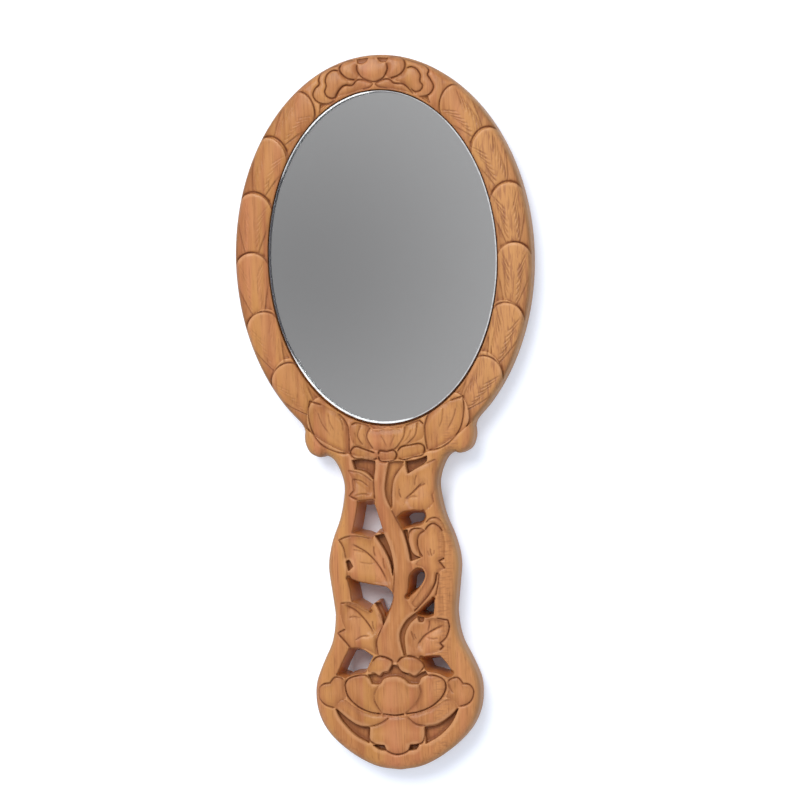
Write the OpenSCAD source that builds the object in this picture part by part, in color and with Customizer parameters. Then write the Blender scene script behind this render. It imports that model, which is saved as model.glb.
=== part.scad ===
// Hand mirror carved from one board: an oval head with a mirror pane let into its front,
// and a flat handle that is pierced and carved with leaves, buds and a lotus.
// It lies on its back: +X right, +Y to the top of the head, +Z out of the mirror's face.
// The origin is on the back, at the middle of the length and of the width.

/* [Head] */
// Width of the oval head
head_w = 104.8; // [102:0.2:108]
// Height of the oval that the head follows
head_h = 141.6; // [138:0.2:144]

/* [Board] */
// Length from the top of the head to the end of the handle
total_l = 250; // [248:1:252]
// Thickness of the board
board_t = 14; // [12.5:0.5:18]
// Radius of the edge round the front
front_r = 3.5; // [2:0.5:4]
// Radius of the edge round the back
back_r = 2.5; // [1.5:0.5:3]

/* [Mirror] */
// Width of the glass
glass_w = 80.4; // [76:0.2:82]
// Height of the glass
glass_h = 116.2; // [112:0.2:118]
// Thickness of the glass
glass_t = 3; // [2:0.5:4]
// Clearance all round the glass in its pocket
glass_gap = 0.4; // [0.2:0.1:0.6]
// Height of the wood above the face of the glass
lip_h = 1.2; // [0.5:0.1:2]
// Thickness of the reflecting layer
silver_t = 0.1; // [0.1:0.05:0.2]
// Thickness of the paint behind the reflecting layer
paint_t = 0.2; // [0.1:0.1:0.4]

/* [Adhesive] */
// Diameter of a pressed dab of adhesive
dab_d = 14; // [8:1:18]
// Thickness of a pressed dab
dab_t = 0.7; // [0.4:0.1:1]

/* [Carving] */
// Width of a cut line
line_w = 1; // [0.6:0.1:1.4]
// Depth of a cut line
line_d = 0.9; // [0.4:0.1:1.5]
// Depth of the sunk ground between the carved forms
ground_d = 3; // [1.5:0.5:4]
// Size of a wide pierced hole at the back, as a share of its size at the front
wide_hole_back = 0.72; // [0.6:0.02:0.9]
// Size of a small pierced hole at the back, as a share of its size at the front
small_hole_back = 0.52; // [0.5:0.02:0.9]

/* [Hidden] */

board_half = total_l / 2;
head_y = board_half - head_h / 2;
pane_top = board_t - lip_h;
pane_bottom = pane_top - glass_t;
silver_bottom = pane_bottom - silver_t;
paint_bottom = silver_bottom - paint_t;
pocket_floor = paint_bottom - dab_t;
overshoot = 1;

// The oval of the head gives way to the ear of the handle at this angle below the middle
ear_angle = 54;
// How finely arcs, outlines, cut lines, ovals and rounded edges are divided
arc_steps = 24;
outline_steps = 3;
line_steps = 2;
edge_steps = 2;
oval_sides = 96;

// Right half of the ear, neck, belly and bulb, from the head down to the end of the handle
handle_edge = [
    [29.8, -5.5], [29.9, -9.3], [28.3, -13.2], [24.9, -15], [22.4, -14.5], [19.6, -16.4],
    [17.2, -21.5], [16.5, -27], [18.2, -36], [21.4, -44.5], [23, -53], [22, -63],
    [21.3, -71], [22.6, -79.5], [26.2, -87.3], [28.9, -95], [28.4, -104], [24.4, -112],
    [16.5, -119.2], [8, -123.7], [0, -125]
];

// Curves are lists of [x, y]; a third value of 1 marks a sharp corner.
// A smooth curve runs through the points between two corners.

// Openings right through the handle, as outlined on the front
hole_above_left_leaf = [
    [-11.5, -30.4, 1], [-6, -30.2, 1], [-5, -34], [-3.9, -38], [-2.7, -42.2, 1], [-5, -42],
    [-7.2, -44, 1], [-9.5, -42.9], [-14, -41.8, 1], [-12.6, -36]
];
hole_above_bud = [
    [1.9, -36.8, 1], [4.2, -34.9], [8, -34.3], [12, -34.7, 1], [12.4, -37], [10.5, -39.6],
    [6.5, -40.4], [3.8, -41.2, 1]
];
hole_below_left_leaf = [
    [-16.5, -56.9, 1], [-12, -58.8], [-6, -60], [-2.6, -60.8], [-0.2, -63.4], [-0.6, -67],
    [-2.8, -71.8, 1], [-4.2, -68.5], [-5, -66], [-7, -66.5], [-9, -69.2, 1], [-11.5, -67.7],
    [-14.9, -65.6, 1], [-15.6, -61]
];
hole_below_bud = [
    [8, -54.8], [10.3, -54.8], [11.3, -57.2], [10, -60.3], [7.4, -63.1], [4.3, -65.3, 1],
    [5.1, -61.5], [5.7, -57.2]
];
hole_above_right_leaf = [
    [14.3, -64.8, 1], [14.2, -68], [13.8, -71.2, 1], [11, -72.1], [7.4, -70.8, 1], [10.4, -67.8]
];
hole_above_left_bud_tip = [
    [-16.3, -81.9, 1], [-12, -82.2], [-8, -84.9, 1], [-9.8, -88.4], [-11.2, -90.8],
    [-15, -91.2], [-18.3, -92.3, 1], [-21.2, -91.3, 1], [-18.9, -86.5]
];
hole_above_right_bud_tip = [
    [8.2, -85.6, 1], [12, -85.2], [15.5, -85.2, 1], [18, -88.2], [20.2, -91.8, 1],
    [18.6, -92.8], [14, -91.3], [10.5, -90.4], [9.3, -88]
];
WIDE_HOLES = [hole_above_left_leaf, hole_below_left_leaf, hole_above_left_bud_tip];
SMALL_HOLES = [hole_above_bud, hole_below_bud, hole_above_right_leaf, hole_above_right_bud_tip];

// Ground cut down between the carved forms
sunk_under_calyx_left = [
    [-13, -16.4, 1], [-9, -16.2], [-5, -16.9, 1], [-5.2, -20], [-5.8, -23.2, 1],
    [-8.5, -20.6], [-12.2, -19.5, 1]
];
sunk_under_calyx_right = [
    [5.8, -17.3, 1], [9.5, -16.9], [13.3, -15.7, 1], [12.8, -17.8], [9, -20],
    [6.5, -21.5, 1], [6, -19.5]
];
sunk_between_stems = [
    [-0.2, -17.6, 1], [2.5, -17.2], [5.3, -17.4, 1], [3, -20.6], [1, -24], [0.4, -29],
    [0.2, -33.7, 1], [-1.4, -30], [-1.8, -26], [-1, -21]
];
sunk_beside_left_leaf = [
    [-5.8, -43, 1], [-2.8, -42.4, 1], [-1, -47], [0.2, -52], [0.1, -57, 1], [-0.8, -52.5], [-2.6, -48]
];
sunk_beside_bud = [
    [4.2, -41.4, 1], [5.5, -41.2, 1], [6, -46], [7.2, -49.4], [9.8, -51, 1], [6.4, -52.1, 1],
    [5.7, -47.5]
];
sunk_round_right_leaf = [
    [7.2, -70.4, 1], [3.8, -73.2], [1.6, -78], [2.8, -85, 1], [3.7, -85, 1], [3.3, -78.8],
    [5, -74.4], [8.4, -71.4, 1]
];
sunk_left_crescent = [
    [-21.8, -103.2, 1], [-17.7, -106.8], [-13.7, -109.3], [-10.1, -109.8, 1], [-10.5, -115.2, 1],
    [-15.4, -112.2], [-20, -107]
];
sunk_right_crescent = [
    [21.3, -103.9, 1], [18.9, -108.7], [14.6, -113], [9.6, -115.8, 1], [9.3, -110, 1],
    [13.8, -109.5], [18, -106.9]
];
SUNK_GROUNDS = [
    sunk_under_calyx_left, sunk_under_calyx_right, sunk_between_stems, sunk_beside_left_leaf,
    sunk_beside_bud, sunk_round_right_leaf, sunk_left_crescent, sunk_right_crescent
];

// Cut lines that draw the flower at the top of the head
flower_lines = [
    [[-7, 116.3], [-11.3, 117.9], [-12.6, 120.6], [-11, 123]],
    [[5, 116.2], [8.6, 117.6], [10.4, 120.2], [9.8, 122.9]],
    [[-6.2, 118.6], [-4.4, 116.6], [-0.6, 115.3], [2.6, 116.6], [3.9, 118.6]],
    [[-10.8, 123.2], [-6.7, 123.2, 1], [-5, 121.8], [-3.2, 122.4], [-1, 124.2]],
    [[-1, 124.2], [1.8, 122.1], [3.7, 122], [5.5, 123.9], [8, 123.6]],
    [[-1, 114.8], [-4.2, 116.2], [-7.2, 115.9], [-9, 114.4], [-12, 114], [-13.8, 112.3]],
    [[-0.3, 114.8], [2.6, 116], [5, 115.9], [7, 114.4], [9.8, 114], [12.5, 112]],
    [[-12.6, 120.6], [-17.8, 120], [-20, 117.2], [-22.2, 112.4], [-20.5, 109], [-17, 108.3]],
    [[10.4, 120.6], [16, 120.6], [18.6, 118.4], [20.2, 113.2], [18.2, 109.8], [14.8, 109.3]],
    [[-13, 119.7], [-16.8, 118.8], [-17.7, 114.8], [-18, 111.9], [-15.6, 110.2], [-13, 111]],
    [[10.6, 119.5], [14, 119.4], [15.8, 116.5], [16.4, 113.2], [14, 111.2], [11.6, 112.4]]
];

// Cut lines that draw the leaves and the lotus below the glass
lotus_lines = [
    [[-27.5, 4.6], [-27.8, 0], [-25.8, -7.5], [-20.5, -12.4], [-14, -14]],
    [[27, 4.6], [26.7, -2], [24, -8.4], [19.6, -12.3], [15, -13.8]],
    [[-17, -0.3], [-14.8, -2.7], [-14, -5.4], [-13.6, -9.4]],
    [[15.2, 0.2], [13.6, -2.4], [12.9, -5.6], [12.4, -9.6]],
    [[-9.6, -4.4], [-10.8, -8], [-8.8, -11.3], [-6.6, -13.6]],
    [[5.6, -5.6], [5.4, -9], [3.2, -12], [1.5, -13.2]],
    [[10, -4.8], [9.4, -8.6], [6.2, -11.4]]
];
calyx_lines = [
    [[-4.6, -14.4], [-9, -12.4], [-12.5, -11.8], [-13.6, -14], [-11.5, -15.8], [-7, -16.4], [-3.9, -16.3]],
    [[2.9, -13.8], [7, -11.8], [11.6, -11.6], [12.6, -13.9], [10.4, -15.9], [5.5, -16.8], [2.4, -16.2]],
    [[-3.9, -15.4], [-3.2, -13.4], [1.7, -13.3], [2.8, -15], [1, -17], [-2.4, -17.1], [-3.9, -15.4]]
];

// Cut lines that draw the leaves, stems and buds on the handle
leaf_lines = [
    [[-14.5, -19.9], [-9.8, -21.2], [-6.2, -24]],
    [[-13.4, -22.4], [-12.7, -26.4], [-14.5, -28.8, 1], [-11.6, -30]],
    [[5, -30.6], [8.4, -27.8], [11.6, -24.4]],
    [[14.8, -29.2], [17, -26.2]],
    [[-18.6, -44.2, 1], [-14, -42.9], [-9.5, -43.4]],
    [[-18.6, -44.2], [-16.8, -48], [-16.2, -52]],
    [[-14.4, -45.6], [-8.8, -49], [-4.4, -54.4], [-1.4, -61]],
    [[-6.3, -46.6], [-6.2, -50]],
    [[-3.2, -50.8], [-2.9, -54.6]],
    [[-19, -66.2, 1], [-14.6, -66.4], [-9.2, -69]],
    [[-20.4, -76.6, 1], [-18.4, -78.8], [-15.8, -82]],
    [[-17.4, -67], [-11.2, -71.4], [-7, -78.6]],
    [[-0.8, -68.6], [-3.4, -73.2], [-6.3, -77.6], [-6.4, -84]],
    [[7.6, -81.4], [12, -77.2], [18.4, -74]],
    [[11.6, -73.6], [11.4, -77.6]],
    [[14, -72.2], [18.8, -73, 1], [18.8, -77.4], [15.8, -81], [16.8, -82.2, 1], [12.4, -84.9]],
    [[16, -56.8], [15.2, -61], [12, -64.6], [8, -68.6]]
];
bud_lines = [
    [[5.8, -43.6], [7.4, -41], [10.6, -40.9]],
    [[11.8, -41.6], [9.2, -44], [9.4, -47.4], [10.8, -50.6]],
    [[11.8, -41.4], [14.6, -39.3], [17, -40.7], [18.8, -42.6]],
    [[12.2, -38.6], [15, -37.1], [18.3, -40.2]],
    [[16.4, -52.4], [18.2, -51.6], [16.8, -53, 1], [18.5, -54.8]],
    [[-1.2, -87], [-1.8, -89], [-3.6, -90.7], [-6, -92], [-9.6, -90.6]],
    [[0.3, -87.6], [2.6, -85.6], [7, -85.8], [9.9, -88.4], [6.4, -92.3], [2.3, -90.8], [0.3, -87.6]]
];
base_lotus_lines = [
    [[-18.2, -94.5], [-15.6, -92], [-10.6, -91.7, 1], [-8.7, -94.6], [-6, -94.6], [-3.6, -92.5],
     [1.5, -92.5], [4.4, -94.7], [7.6, -95], [9.6, -92.2], [14.6, -92.5], [17.4, -95.6]],
    [[-18.4, -95], [-17.6, -98.4], [-12.6, -103.3], [-6, -105.2], [0, -105.8], [6, -105.2],
     [11.6, -103.2], [16.6, -98.9], [17.4, -95.6]],
    [[-7.6, -96.4], [-8, -100], [-5.8, -104.6]],
    [[8, -96.2], [7.6, -100], [3, -105]],
    [[-18.8, -93], [-21, -92], [-23.8, -94], [-27.3, -95.4], [-27.4, -99.4], [-21.8, -102.8]],
    [[18.2, -94.4], [21.6, -93], [23.5, -95.2], [26.8, -97], [25.2, -102.2], [21.4, -103.4]],
    [[-21.8, -100.4], [-18.5, -100.1], [-13, -103.9], [-9, -105]],
    [[21, -101.6], [18.2, -100.7], [13.4, -102.9], [9, -104.8]],
    [[-10.2, -109.7], [-6, -108.3], [-3, -106.2]],
    [[9.4, -109.8], [6, -108.9], [3.2, -106.3]],
    [[-10.3, -110], [-10.2, -114], [-5.4, -116.2], [-3.4, -118.8], [-0.8, -119.5], [2.4, -118.5],
     [4, -116.3], [8.8, -115], [9.4, -110.4]]
];
LINES = concat(flower_lines, lotus_lines, calyx_lines, leaf_lines, bud_lines, base_lotus_lines);

// Six overlapping scales on each side of the head: angle of the first one's tip, and the step
scale_first = 60;
scale_step = 19;
scale_count = 6;
// How far a scale's rounded tip falls back at the edges of the ring, in degrees
scale_round = 4.6;
// Share of the ring's width left uncut at each end of a tip's line
scale_margin = 0.12;
scale_arc_steps = 7;
// Width of a cut line's pointed end, as a share of its full width
line_point = 0.2;

dab_spots = [[0, 0], [-22, 28], [22, 28], [-22, -28], [22, -28]];

function cubic(a, b, c, d, t) =
    (2 * b + (c - a) * t + (2 * a - 5 * b + 4 * c - d) * t * t + (3 * b - a - 3 * c + d) * t * t * t) / 2;
function is_corner(p) = len(p) > 2;
function xy(p) = [p[0], p[1]];
// Points of the span from q[i] to q[j]; a corner at either end stops the curve from looking past it
function span(q, before, i, j, after, steps) =
    [for (k = [0 : steps - 1])
        cubic(xy(is_corner(q[i]) ? q[i] : q[before]), xy(q[i]), xy(q[j]),
              xy(is_corner(q[j]) ? q[j] : q[after]), k / steps)];
function closed_curve(q, steps) =
    [for (i = [0 : len(q) - 1])
        each span(q, (i + len(q) - 1) % len(q), i, (i + 1) % len(q), (i + 2) % len(q), steps)];
function open_curve(q, steps) =
    [for (i = [0 : len(q) - 2])
        each span(q, max(i - 1, 0), i, i + 1, min(i + 2, len(q) - 1), steps),
     xy(q[len(q) - 1])];
function oval(w, h, angle) = [w / 2 * cos(angle), head_y + h / 2 * sin(angle)];
function mean(points) = [for (axis = [0, 1]) [for (p = points) p[axis]] * [for (p = points) 1] / len(points)];
function unit(v) = v / norm(v);
function normal(points, i, before, after) =
    let (t = unit(points[after] - points[before])) [-t[1], t[0]];

// The board's outline, counter-clockwise
function board_outline() =
    let (
        arc = [for (k = [0 : arc_steps]) oval(head_w, head_h, 90 - (90 + ear_angle) * k / arc_steps)],
        right = concat(arc, open_curve(handle_edge, outline_steps)),
        left = [for (k = [len(right) - 2 : -1 : 1]) [-right[k][0], right[k][1]]],
        clockwise = concat(right, left)
    )
    [for (k = [len(clockwise) - 1 : -1 : 0]) clockwise[k]];
function inset(points, d) =
    let (n = len(points))
    [for (i = [0 : n - 1]) points[i] + d * normal(points, i, (i + n - 1) % n, (i + 1) % n)];

// A narrow closed strip along an open curve, pointed at both ends
function strip(path, width) =
    let (
        last = len(path) - 1,
        side = [for (i = [0 : last])
            normal(path, i, max(i - 1, 0), min(i + 1, last)) * width / 2
            * (i == 0 || i == last ? line_point : 1)]
    )
    concat([for (i = [0 : last]) path[i] - side[i]], [for (i = [last : -1 : 0]) path[i] + side[i]]);

// Edge of a scale's rounded tip, across the ring from the pocket to the outside
function scale_tip(angle) =
    [for (k = [0 : scale_arc_steps])
        let (
            across = scale_margin + (1 - 2 * scale_margin) * k / scale_arc_steps,
            back = scale_round * (1 - sqrt(1 - pow(2 * across - 1, 2))),
            w = glass_w + (head_w - glass_w) * across,
            h = glass_h + (head_h - glass_h) * across
        )
        oval(w, h, angle - back)];

// Takes the sharp edge off the outline. The section is a quarter-round with the waste outside it,
// swept round the outline; side is 1 for the front face at height z, and -1 for the back.
module edge_cutter(outline, radius, z, side) {
    round_part = [for (k = [0 : edge_steps])
        let (a = 90 * k / edge_steps) [radius * (1 - sin(a)), -radius * (1 - cos(a))]];
    section = concat(round_part, [[-overshoot, -radius], [-overshoot, overshoot], [radius, overshoot]]);
    rows = len(section);
    n = len(outline);
    points = [for (s = section) each [for (p = inset(outline, s[0])) [p[0], p[1], z + side * s[1]]]];
    faces = [for (r = [0 : rows - 1]) for (i = [0 : n - 1])
        [r * n + i, (r + 1) % rows * n + i, (r + 1) % rows * n + (i + 1) % n, r * n + (i + 1) % n]];
    polyhedron(points, side > 0 ? faces : [for (f = faces) [f[3], f[2], f[1], f[0]]], convexity = 10);
}

module board() {
    outline = board_outline();
    difference() {
        linear_extrude(height = board_t)
            polygon(outline);
        edge_cutter(outline, front_r, board_t, 1);
        edge_cutter(outline, back_r, 0, -1);
    }
}

module oval_plate(w, h, bottom, thickness) {
    translate([0, 0, bottom])
        linear_extrude(height = thickness)
            polygon([for (k = [0 : oval_sides - 1]) oval(w, h, 360 * k / oval_sides)]);
}

// A pierced hole narrows evenly from the front to the back
module pierced_hole(outline, back) {
    points = closed_curve(outline, outline_steps);
    centre = mean(points);
    grow = (1 - back) / board_t;
    low = back - grow * overshoot;
    high = 1 + grow * overshoot;
    translate([centre[0], centre[1], -overshoot])
        linear_extrude(height = board_t + 2 * overshoot, scale = high / low)
            polygon([for (p = points) low * (p - centre)]);
}

module cut_from_top(depth) {
    translate([0, 0, board_t - depth])
        linear_extrude(height = depth + overshoot)
            children();
}

// Every cut line, drawn as a thin strip and then widened, with rounded ends
module carved_lines() {
    offset(r = line_w / 4) {
        for (line = LINES) polygon(strip(open_curve(line, line_steps), line_w / 2));
        for (k = [0 : scale_count - 1], side = [0, 1])
            mirror([side, 0])
                polygon(strip(scale_tip(scale_first - k * scale_step), line_w / 2));
    }
}

module carved_body() {
    color("peru")
        difference() {
            board();
            oval_plate(glass_w + 2 * glass_gap, glass_h + 2 * glass_gap, pocket_floor,
                       board_t - pocket_floor + overshoot);
            for (outline = WIDE_HOLES) pierced_hole(outline, wide_hole_back);
            for (outline = SMALL_HOLES) pierced_hole(outline, small_hole_back);
            cut_from_top(ground_d) for (outline = SUNK_GROUNDS) polygon(closed_curve(outline, line_steps));
            cut_from_top(line_d) carved_lines();
        }
}

module mirror_pane() {
    color("lightcyan", 0.5)
        oval_plate(glass_w, glass_h, pane_bottom, glass_t);
}

module silver_layer() {
    color("silver")
        oval_plate(glass_w, glass_h, silver_bottom, silver_t);
}

module backing_coat() {
    color("dimgray")
        oval_plate(glass_w, glass_h, paint_bottom, paint_t);
}

module adhesive_dabs() {
    color("whitesmoke")
        for (spot = dab_spots)
            translate([spot[0], head_y + spot[1], pocket_floor])
                cylinder(h = dab_t, d = dab_d, $fn = 48);
}

carved_body();
mirror_pane();
silver_layer();
backing_coat();
adhesive_dabs();
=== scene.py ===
"""Hand mirror, hand-carved from one board: the looks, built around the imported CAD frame.

Everything in the scene is in metres. The carving itself is drawn in millimetres, in the same
frame, like a carver's pattern: +X right, +Y to the top of the head, +Z out of the face.
"""

import math
import bpy
import numpy as np
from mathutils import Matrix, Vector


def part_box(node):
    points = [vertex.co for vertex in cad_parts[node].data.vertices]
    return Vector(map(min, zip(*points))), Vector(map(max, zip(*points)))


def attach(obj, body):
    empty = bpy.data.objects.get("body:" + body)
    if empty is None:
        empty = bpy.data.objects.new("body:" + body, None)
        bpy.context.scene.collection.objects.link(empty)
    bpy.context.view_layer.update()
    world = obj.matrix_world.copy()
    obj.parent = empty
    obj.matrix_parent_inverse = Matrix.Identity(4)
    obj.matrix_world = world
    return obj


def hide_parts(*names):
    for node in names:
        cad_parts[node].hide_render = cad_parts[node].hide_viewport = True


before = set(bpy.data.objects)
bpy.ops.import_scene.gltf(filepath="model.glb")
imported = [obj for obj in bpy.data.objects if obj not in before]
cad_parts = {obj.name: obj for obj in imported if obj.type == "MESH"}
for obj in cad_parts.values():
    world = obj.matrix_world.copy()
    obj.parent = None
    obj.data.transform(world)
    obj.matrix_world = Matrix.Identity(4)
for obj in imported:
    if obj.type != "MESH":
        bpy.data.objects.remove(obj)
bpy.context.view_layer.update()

import openvdb
from mathutils import Matrix, Vector

MM = 0.001
FAR = 99.0  # further than any distance that counts, mm
BOARD = "carved_body"
PANE = "mirror_pane"

# ---------------------------------------------------------------- sizes taken from the frame


def box_mm(node):
    low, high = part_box(node)
    return np.array(low) / MM, np.array(high) / MM


board_low, board_high = box_mm(BOARD)
pane_low, pane_high = box_mm(PANE)
BOARD_TOP = board_high[2]
HEAD_Y = (pane_low[1] + pane_high[1]) / 2
PANE_HALF = (pane_high[:2] - pane_low[:2]) / 2
HEAD_HALF = np.array([board_high[0], board_high[1] - HEAD_Y])
POCKET_FLOOR = box_mm("adhesive_dabs")[0][2]

# ---------------------------------------------------------------- curves in the board's plane


def curve(points, closed=False, steps=6):
    """A smooth curve through the points; a third value of 1 marks a sharp corner."""
    count = len(points)
    spots = [np.array(p[:2], float) for p in points]
    corner = [len(p) > 2 for p in points]
    path = []
    for i in range(count if closed else count - 1):
        j = (i + 1) % count
        before = (i - 1) % count if closed else max(i - 1, 0)
        after = (j + 1) % count if closed else min(j + 1, count - 1)
        a = spots[i] if corner[i] else spots[before]
        b, c = spots[i], spots[j]
        d = spots[j] if corner[j] else spots[after]
        for t in np.arange(steps) / steps:
            path.append(
                (
                    2 * b
                    + (c - a) * t
                    + (2 * a - 5 * b + 4 * c - d) * t**2
                    + (3 * b - a - 3 * c + d) * t**3
                )
                / 2
            )
    if not closed:
        path.append(spots[-1])
    return np.array(path)


def nearest(path, x, y, closed=False):
    """Distance to a path, which side of it (+1 left of travel), and how far along it (0 to 1)."""
    ends = np.vstack([path, path[:1]]) if closed else path
    starts, spans = ends[:-1], np.diff(ends, axis=0)
    lengths = np.maximum(np.hypot(*spans.T), 1e-9)
    run = np.concatenate([[0], np.cumsum(lengths)])
    best = np.full(x.shape, 1e18)
    side = np.ones(x.shape)
    along = np.zeros(x.shape)
    for start, span, length, before in zip(starts, spans, lengths, run):
        rx, ry = x - start[0], y - start[1]
        t = np.clip((rx * span[0] + ry * span[1]) / length**2, 0, 1)
        dx, dy = rx - t * span[0], ry - t * span[1]
        square = dx * dx + dy * dy
        closer = square < best
        best = np.where(closer, square, best)
        side = np.where(closer, np.where(span[0] * ry - span[1] * rx >= 0, 1, -1), side)
        along = np.where(closer, (before + t * length) / run[-1], along)
    return np.sqrt(best), side, along


def inside(loop, x, y):
    """True where a point lies within a closed loop."""
    odd = np.zeros(x.shape, bool)
    for (x0, y0), (x1, y1) in zip(loop, np.roll(loop, -1, axis=0)):
        if y0 == y1:
            continue
        crosses = ((y0 > y) != (y1 > y)) & (x < (x1 - x0) * (y - y0) / (y1 - y0) + x0)
        odd ^= crosses
    return odd


def depth_inside(loop, x, y):
    """Distance to a closed loop: positive inside it, negative outside."""
    distance, _, _ = nearest(loop, x, y, closed=True)
    return np.where(inside(loop, x, y), distance, -distance)


def smooth_step(t):
    t = np.clip(t, 0, 1)
    return t * t * (3 - 2 * t)


def fade_out(along, at_start, at_end):
    """1 along a path, and falling to 0 over these shares of its length at its ends."""
    start, end = max(at_start, 1e-6), max(at_end, 1e-6)
    return np.minimum(smooth_step(along / start), smooth_step((1 - along) / end))


def sections(node, height):
    """The closed loops, in mm, where a level plane cuts a CAD node, longest first."""
    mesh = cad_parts[node].data
    mesh.calc_loop_triangles()
    spots = np.array([v.co for v in mesh.vertices]) / MM
    triangles = np.array([t.vertices for t in mesh.loop_triangles])
    links = {}
    for corners in spots[triangles]:
        crossing = []
        for p, q in zip(corners, np.roll(corners, -1, axis=0)):
            if (p[2] > height) != (q[2] > height):
                low, high = (p, q) if tuple(p) < tuple(q) else (q, p)
                t = (height - low[2]) / (high[2] - low[2])
                crossing.append(tuple(np.round(low[:2] + t * (high[:2] - low[:2]), 3)))
        if len(crossing) == 2 and crossing[0] != crossing[1]:
            links.setdefault(crossing[0], []).append(crossing[1])
            links.setdefault(crossing[1], []).append(crossing[0])
    loops = []
    while links:
        first = next(iter(links))
        loop, here = [first], first
        while links.get(here):
            there = links[here].pop()
            links[there].remove(here)
            loop.append(there)
            here = there
        for spot in set(loop):
            if not links.get(spot):
                links.pop(spot, None)
        loops.append(np.array(loop[:-1]))
    return sorted(loops, key=lambda l: -np.hypot(*np.diff(l, axis=0).T).sum())


# ---------------------------------------------------------------- the carving


BLADE = 0.32  # half the width of a knife cut, mm
SLOPE_SHARE = 0.5  # how deep a slope starts, as a share of the cut beside it
CUT_SHADE_REACH = 0.3  # half the width of the painted shade in a cut, mm
CUT_SHADE_CORE = 1.3  # more than 1, so that the middle of a cut is evenly dark
CUT_SHADE_FULL = 0.8  # depth of a cut that takes the full painted shade, mm
FORM_SHADING_REACH = 4  # how far in from a form's edge the painted highlight reaches its palest, mm
PLAIN_FORM_SHADING = 0.6  # how much painted highlight the plain margins carry, from 0 to 1
DISH_MARGIN = 0.8  # how far in from a leaf's edge its dishing begins, mm


class Carving:
    """The height of the board's front over a level grid, worked on in mm like the real one."""

    def __init__(self, low, high, step):
        self.step = step
        self.x = np.arange(low[0], high[0] + step, step)
        self.y = np.arange(low[1], high[1] + step, step)
        self.top = np.full((len(self.x), len(self.y)), float(BOARD_TOP))
        self.lines = np.zeros_like(self.top)
        self.line_shade = np.zeros_like(self.top)
        self.form_shading = np.full_like(self.top, PLAIN_FORM_SHADING)

    def line(self, path, depth, left, right, fade=(0.12, 0.3), dark=(1, 1)):
        """A V-cut along a path, which on a side wider than the blade goes on as a gentle slope.

        dark says how much painted shade the cut holds at its two ends.
        """
        area, x, y = window_of(self, path, max(left, right, BLADE))
        distance, side, along = nearest(path, x, y)
        spread = np.where(side > 0, left, right)
        cut = depth * np.clip(1 - distance / np.minimum(spread, BLADE), 0, 1)
        slope = SLOPE_SHARE * depth * np.clip(1 - distance / spread, 0, 1) ** 1.5
        ends = fade_out(along, *fade)
        cut = np.where(spread > BLADE, np.maximum(cut, slope), cut) * ends
        self.lines[area] = np.maximum(self.lines[area], cut)
        # Painted shade in the cut, fading at its ends and where it is shallow
        shade = np.clip(CUT_SHADE_CORE - distance / CUT_SHADE_REACH, 0, 1) * ends * min(depth / CUT_SHADE_FULL, 1)
        shade *= dark[0] + (dark[1] - dark[0]) * along
        self.line_shade[area] = np.maximum(self.line_shade[area], shade)

    def hollow(self, path, depth, width, within):
        """A wide, round-bottomed gouge cut along a path, kept inside an outline."""
        area, x, y = window_of(self, path, width)
        distance, _, along = nearest(path, x, y)
        cut = depth * np.clip(1 - distance / width, 0, 1) ** 1.5 * fade_out(along, 0.2, 0.2)
        self.top[area] -= cut * smooth_step(depth_inside(within, x, y) / DISH_MARGIN)

    def soften(self, loop, drop, reach):
        """Rounds a form over, so that it falls by drop at its edge."""
        area, x, y = window_of(self, loop, 0)
        depth = depth_inside(loop, x, y)
        fall = drop * np.clip(1 - depth / reach, 0, 1) ** 2
        self.top[area] -= np.where(depth > 0, fall, 0)
        # Painted highlight in the form's middle, falling to painted shade at its edge
        self.form_shading[area] = np.where(depth > 0, smooth_step(depth / FORM_SHADING_REACH), self.form_shading[area])

    def sink(self, loop, drop, wall=0.5):
        """Cuts the ground inside an outline down to a flat bottom."""
        area, x, y = window_of(self, loop, wall)
        depth = depth_inside(loop, x, y)
        ground = BOARD_TOP - drop * smooth_step((depth + wall / 2) / wall)
        self.top[area] = np.minimum(self.top[area], ground + np.where(depth > -wall / 2, 0, FAR))


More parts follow.
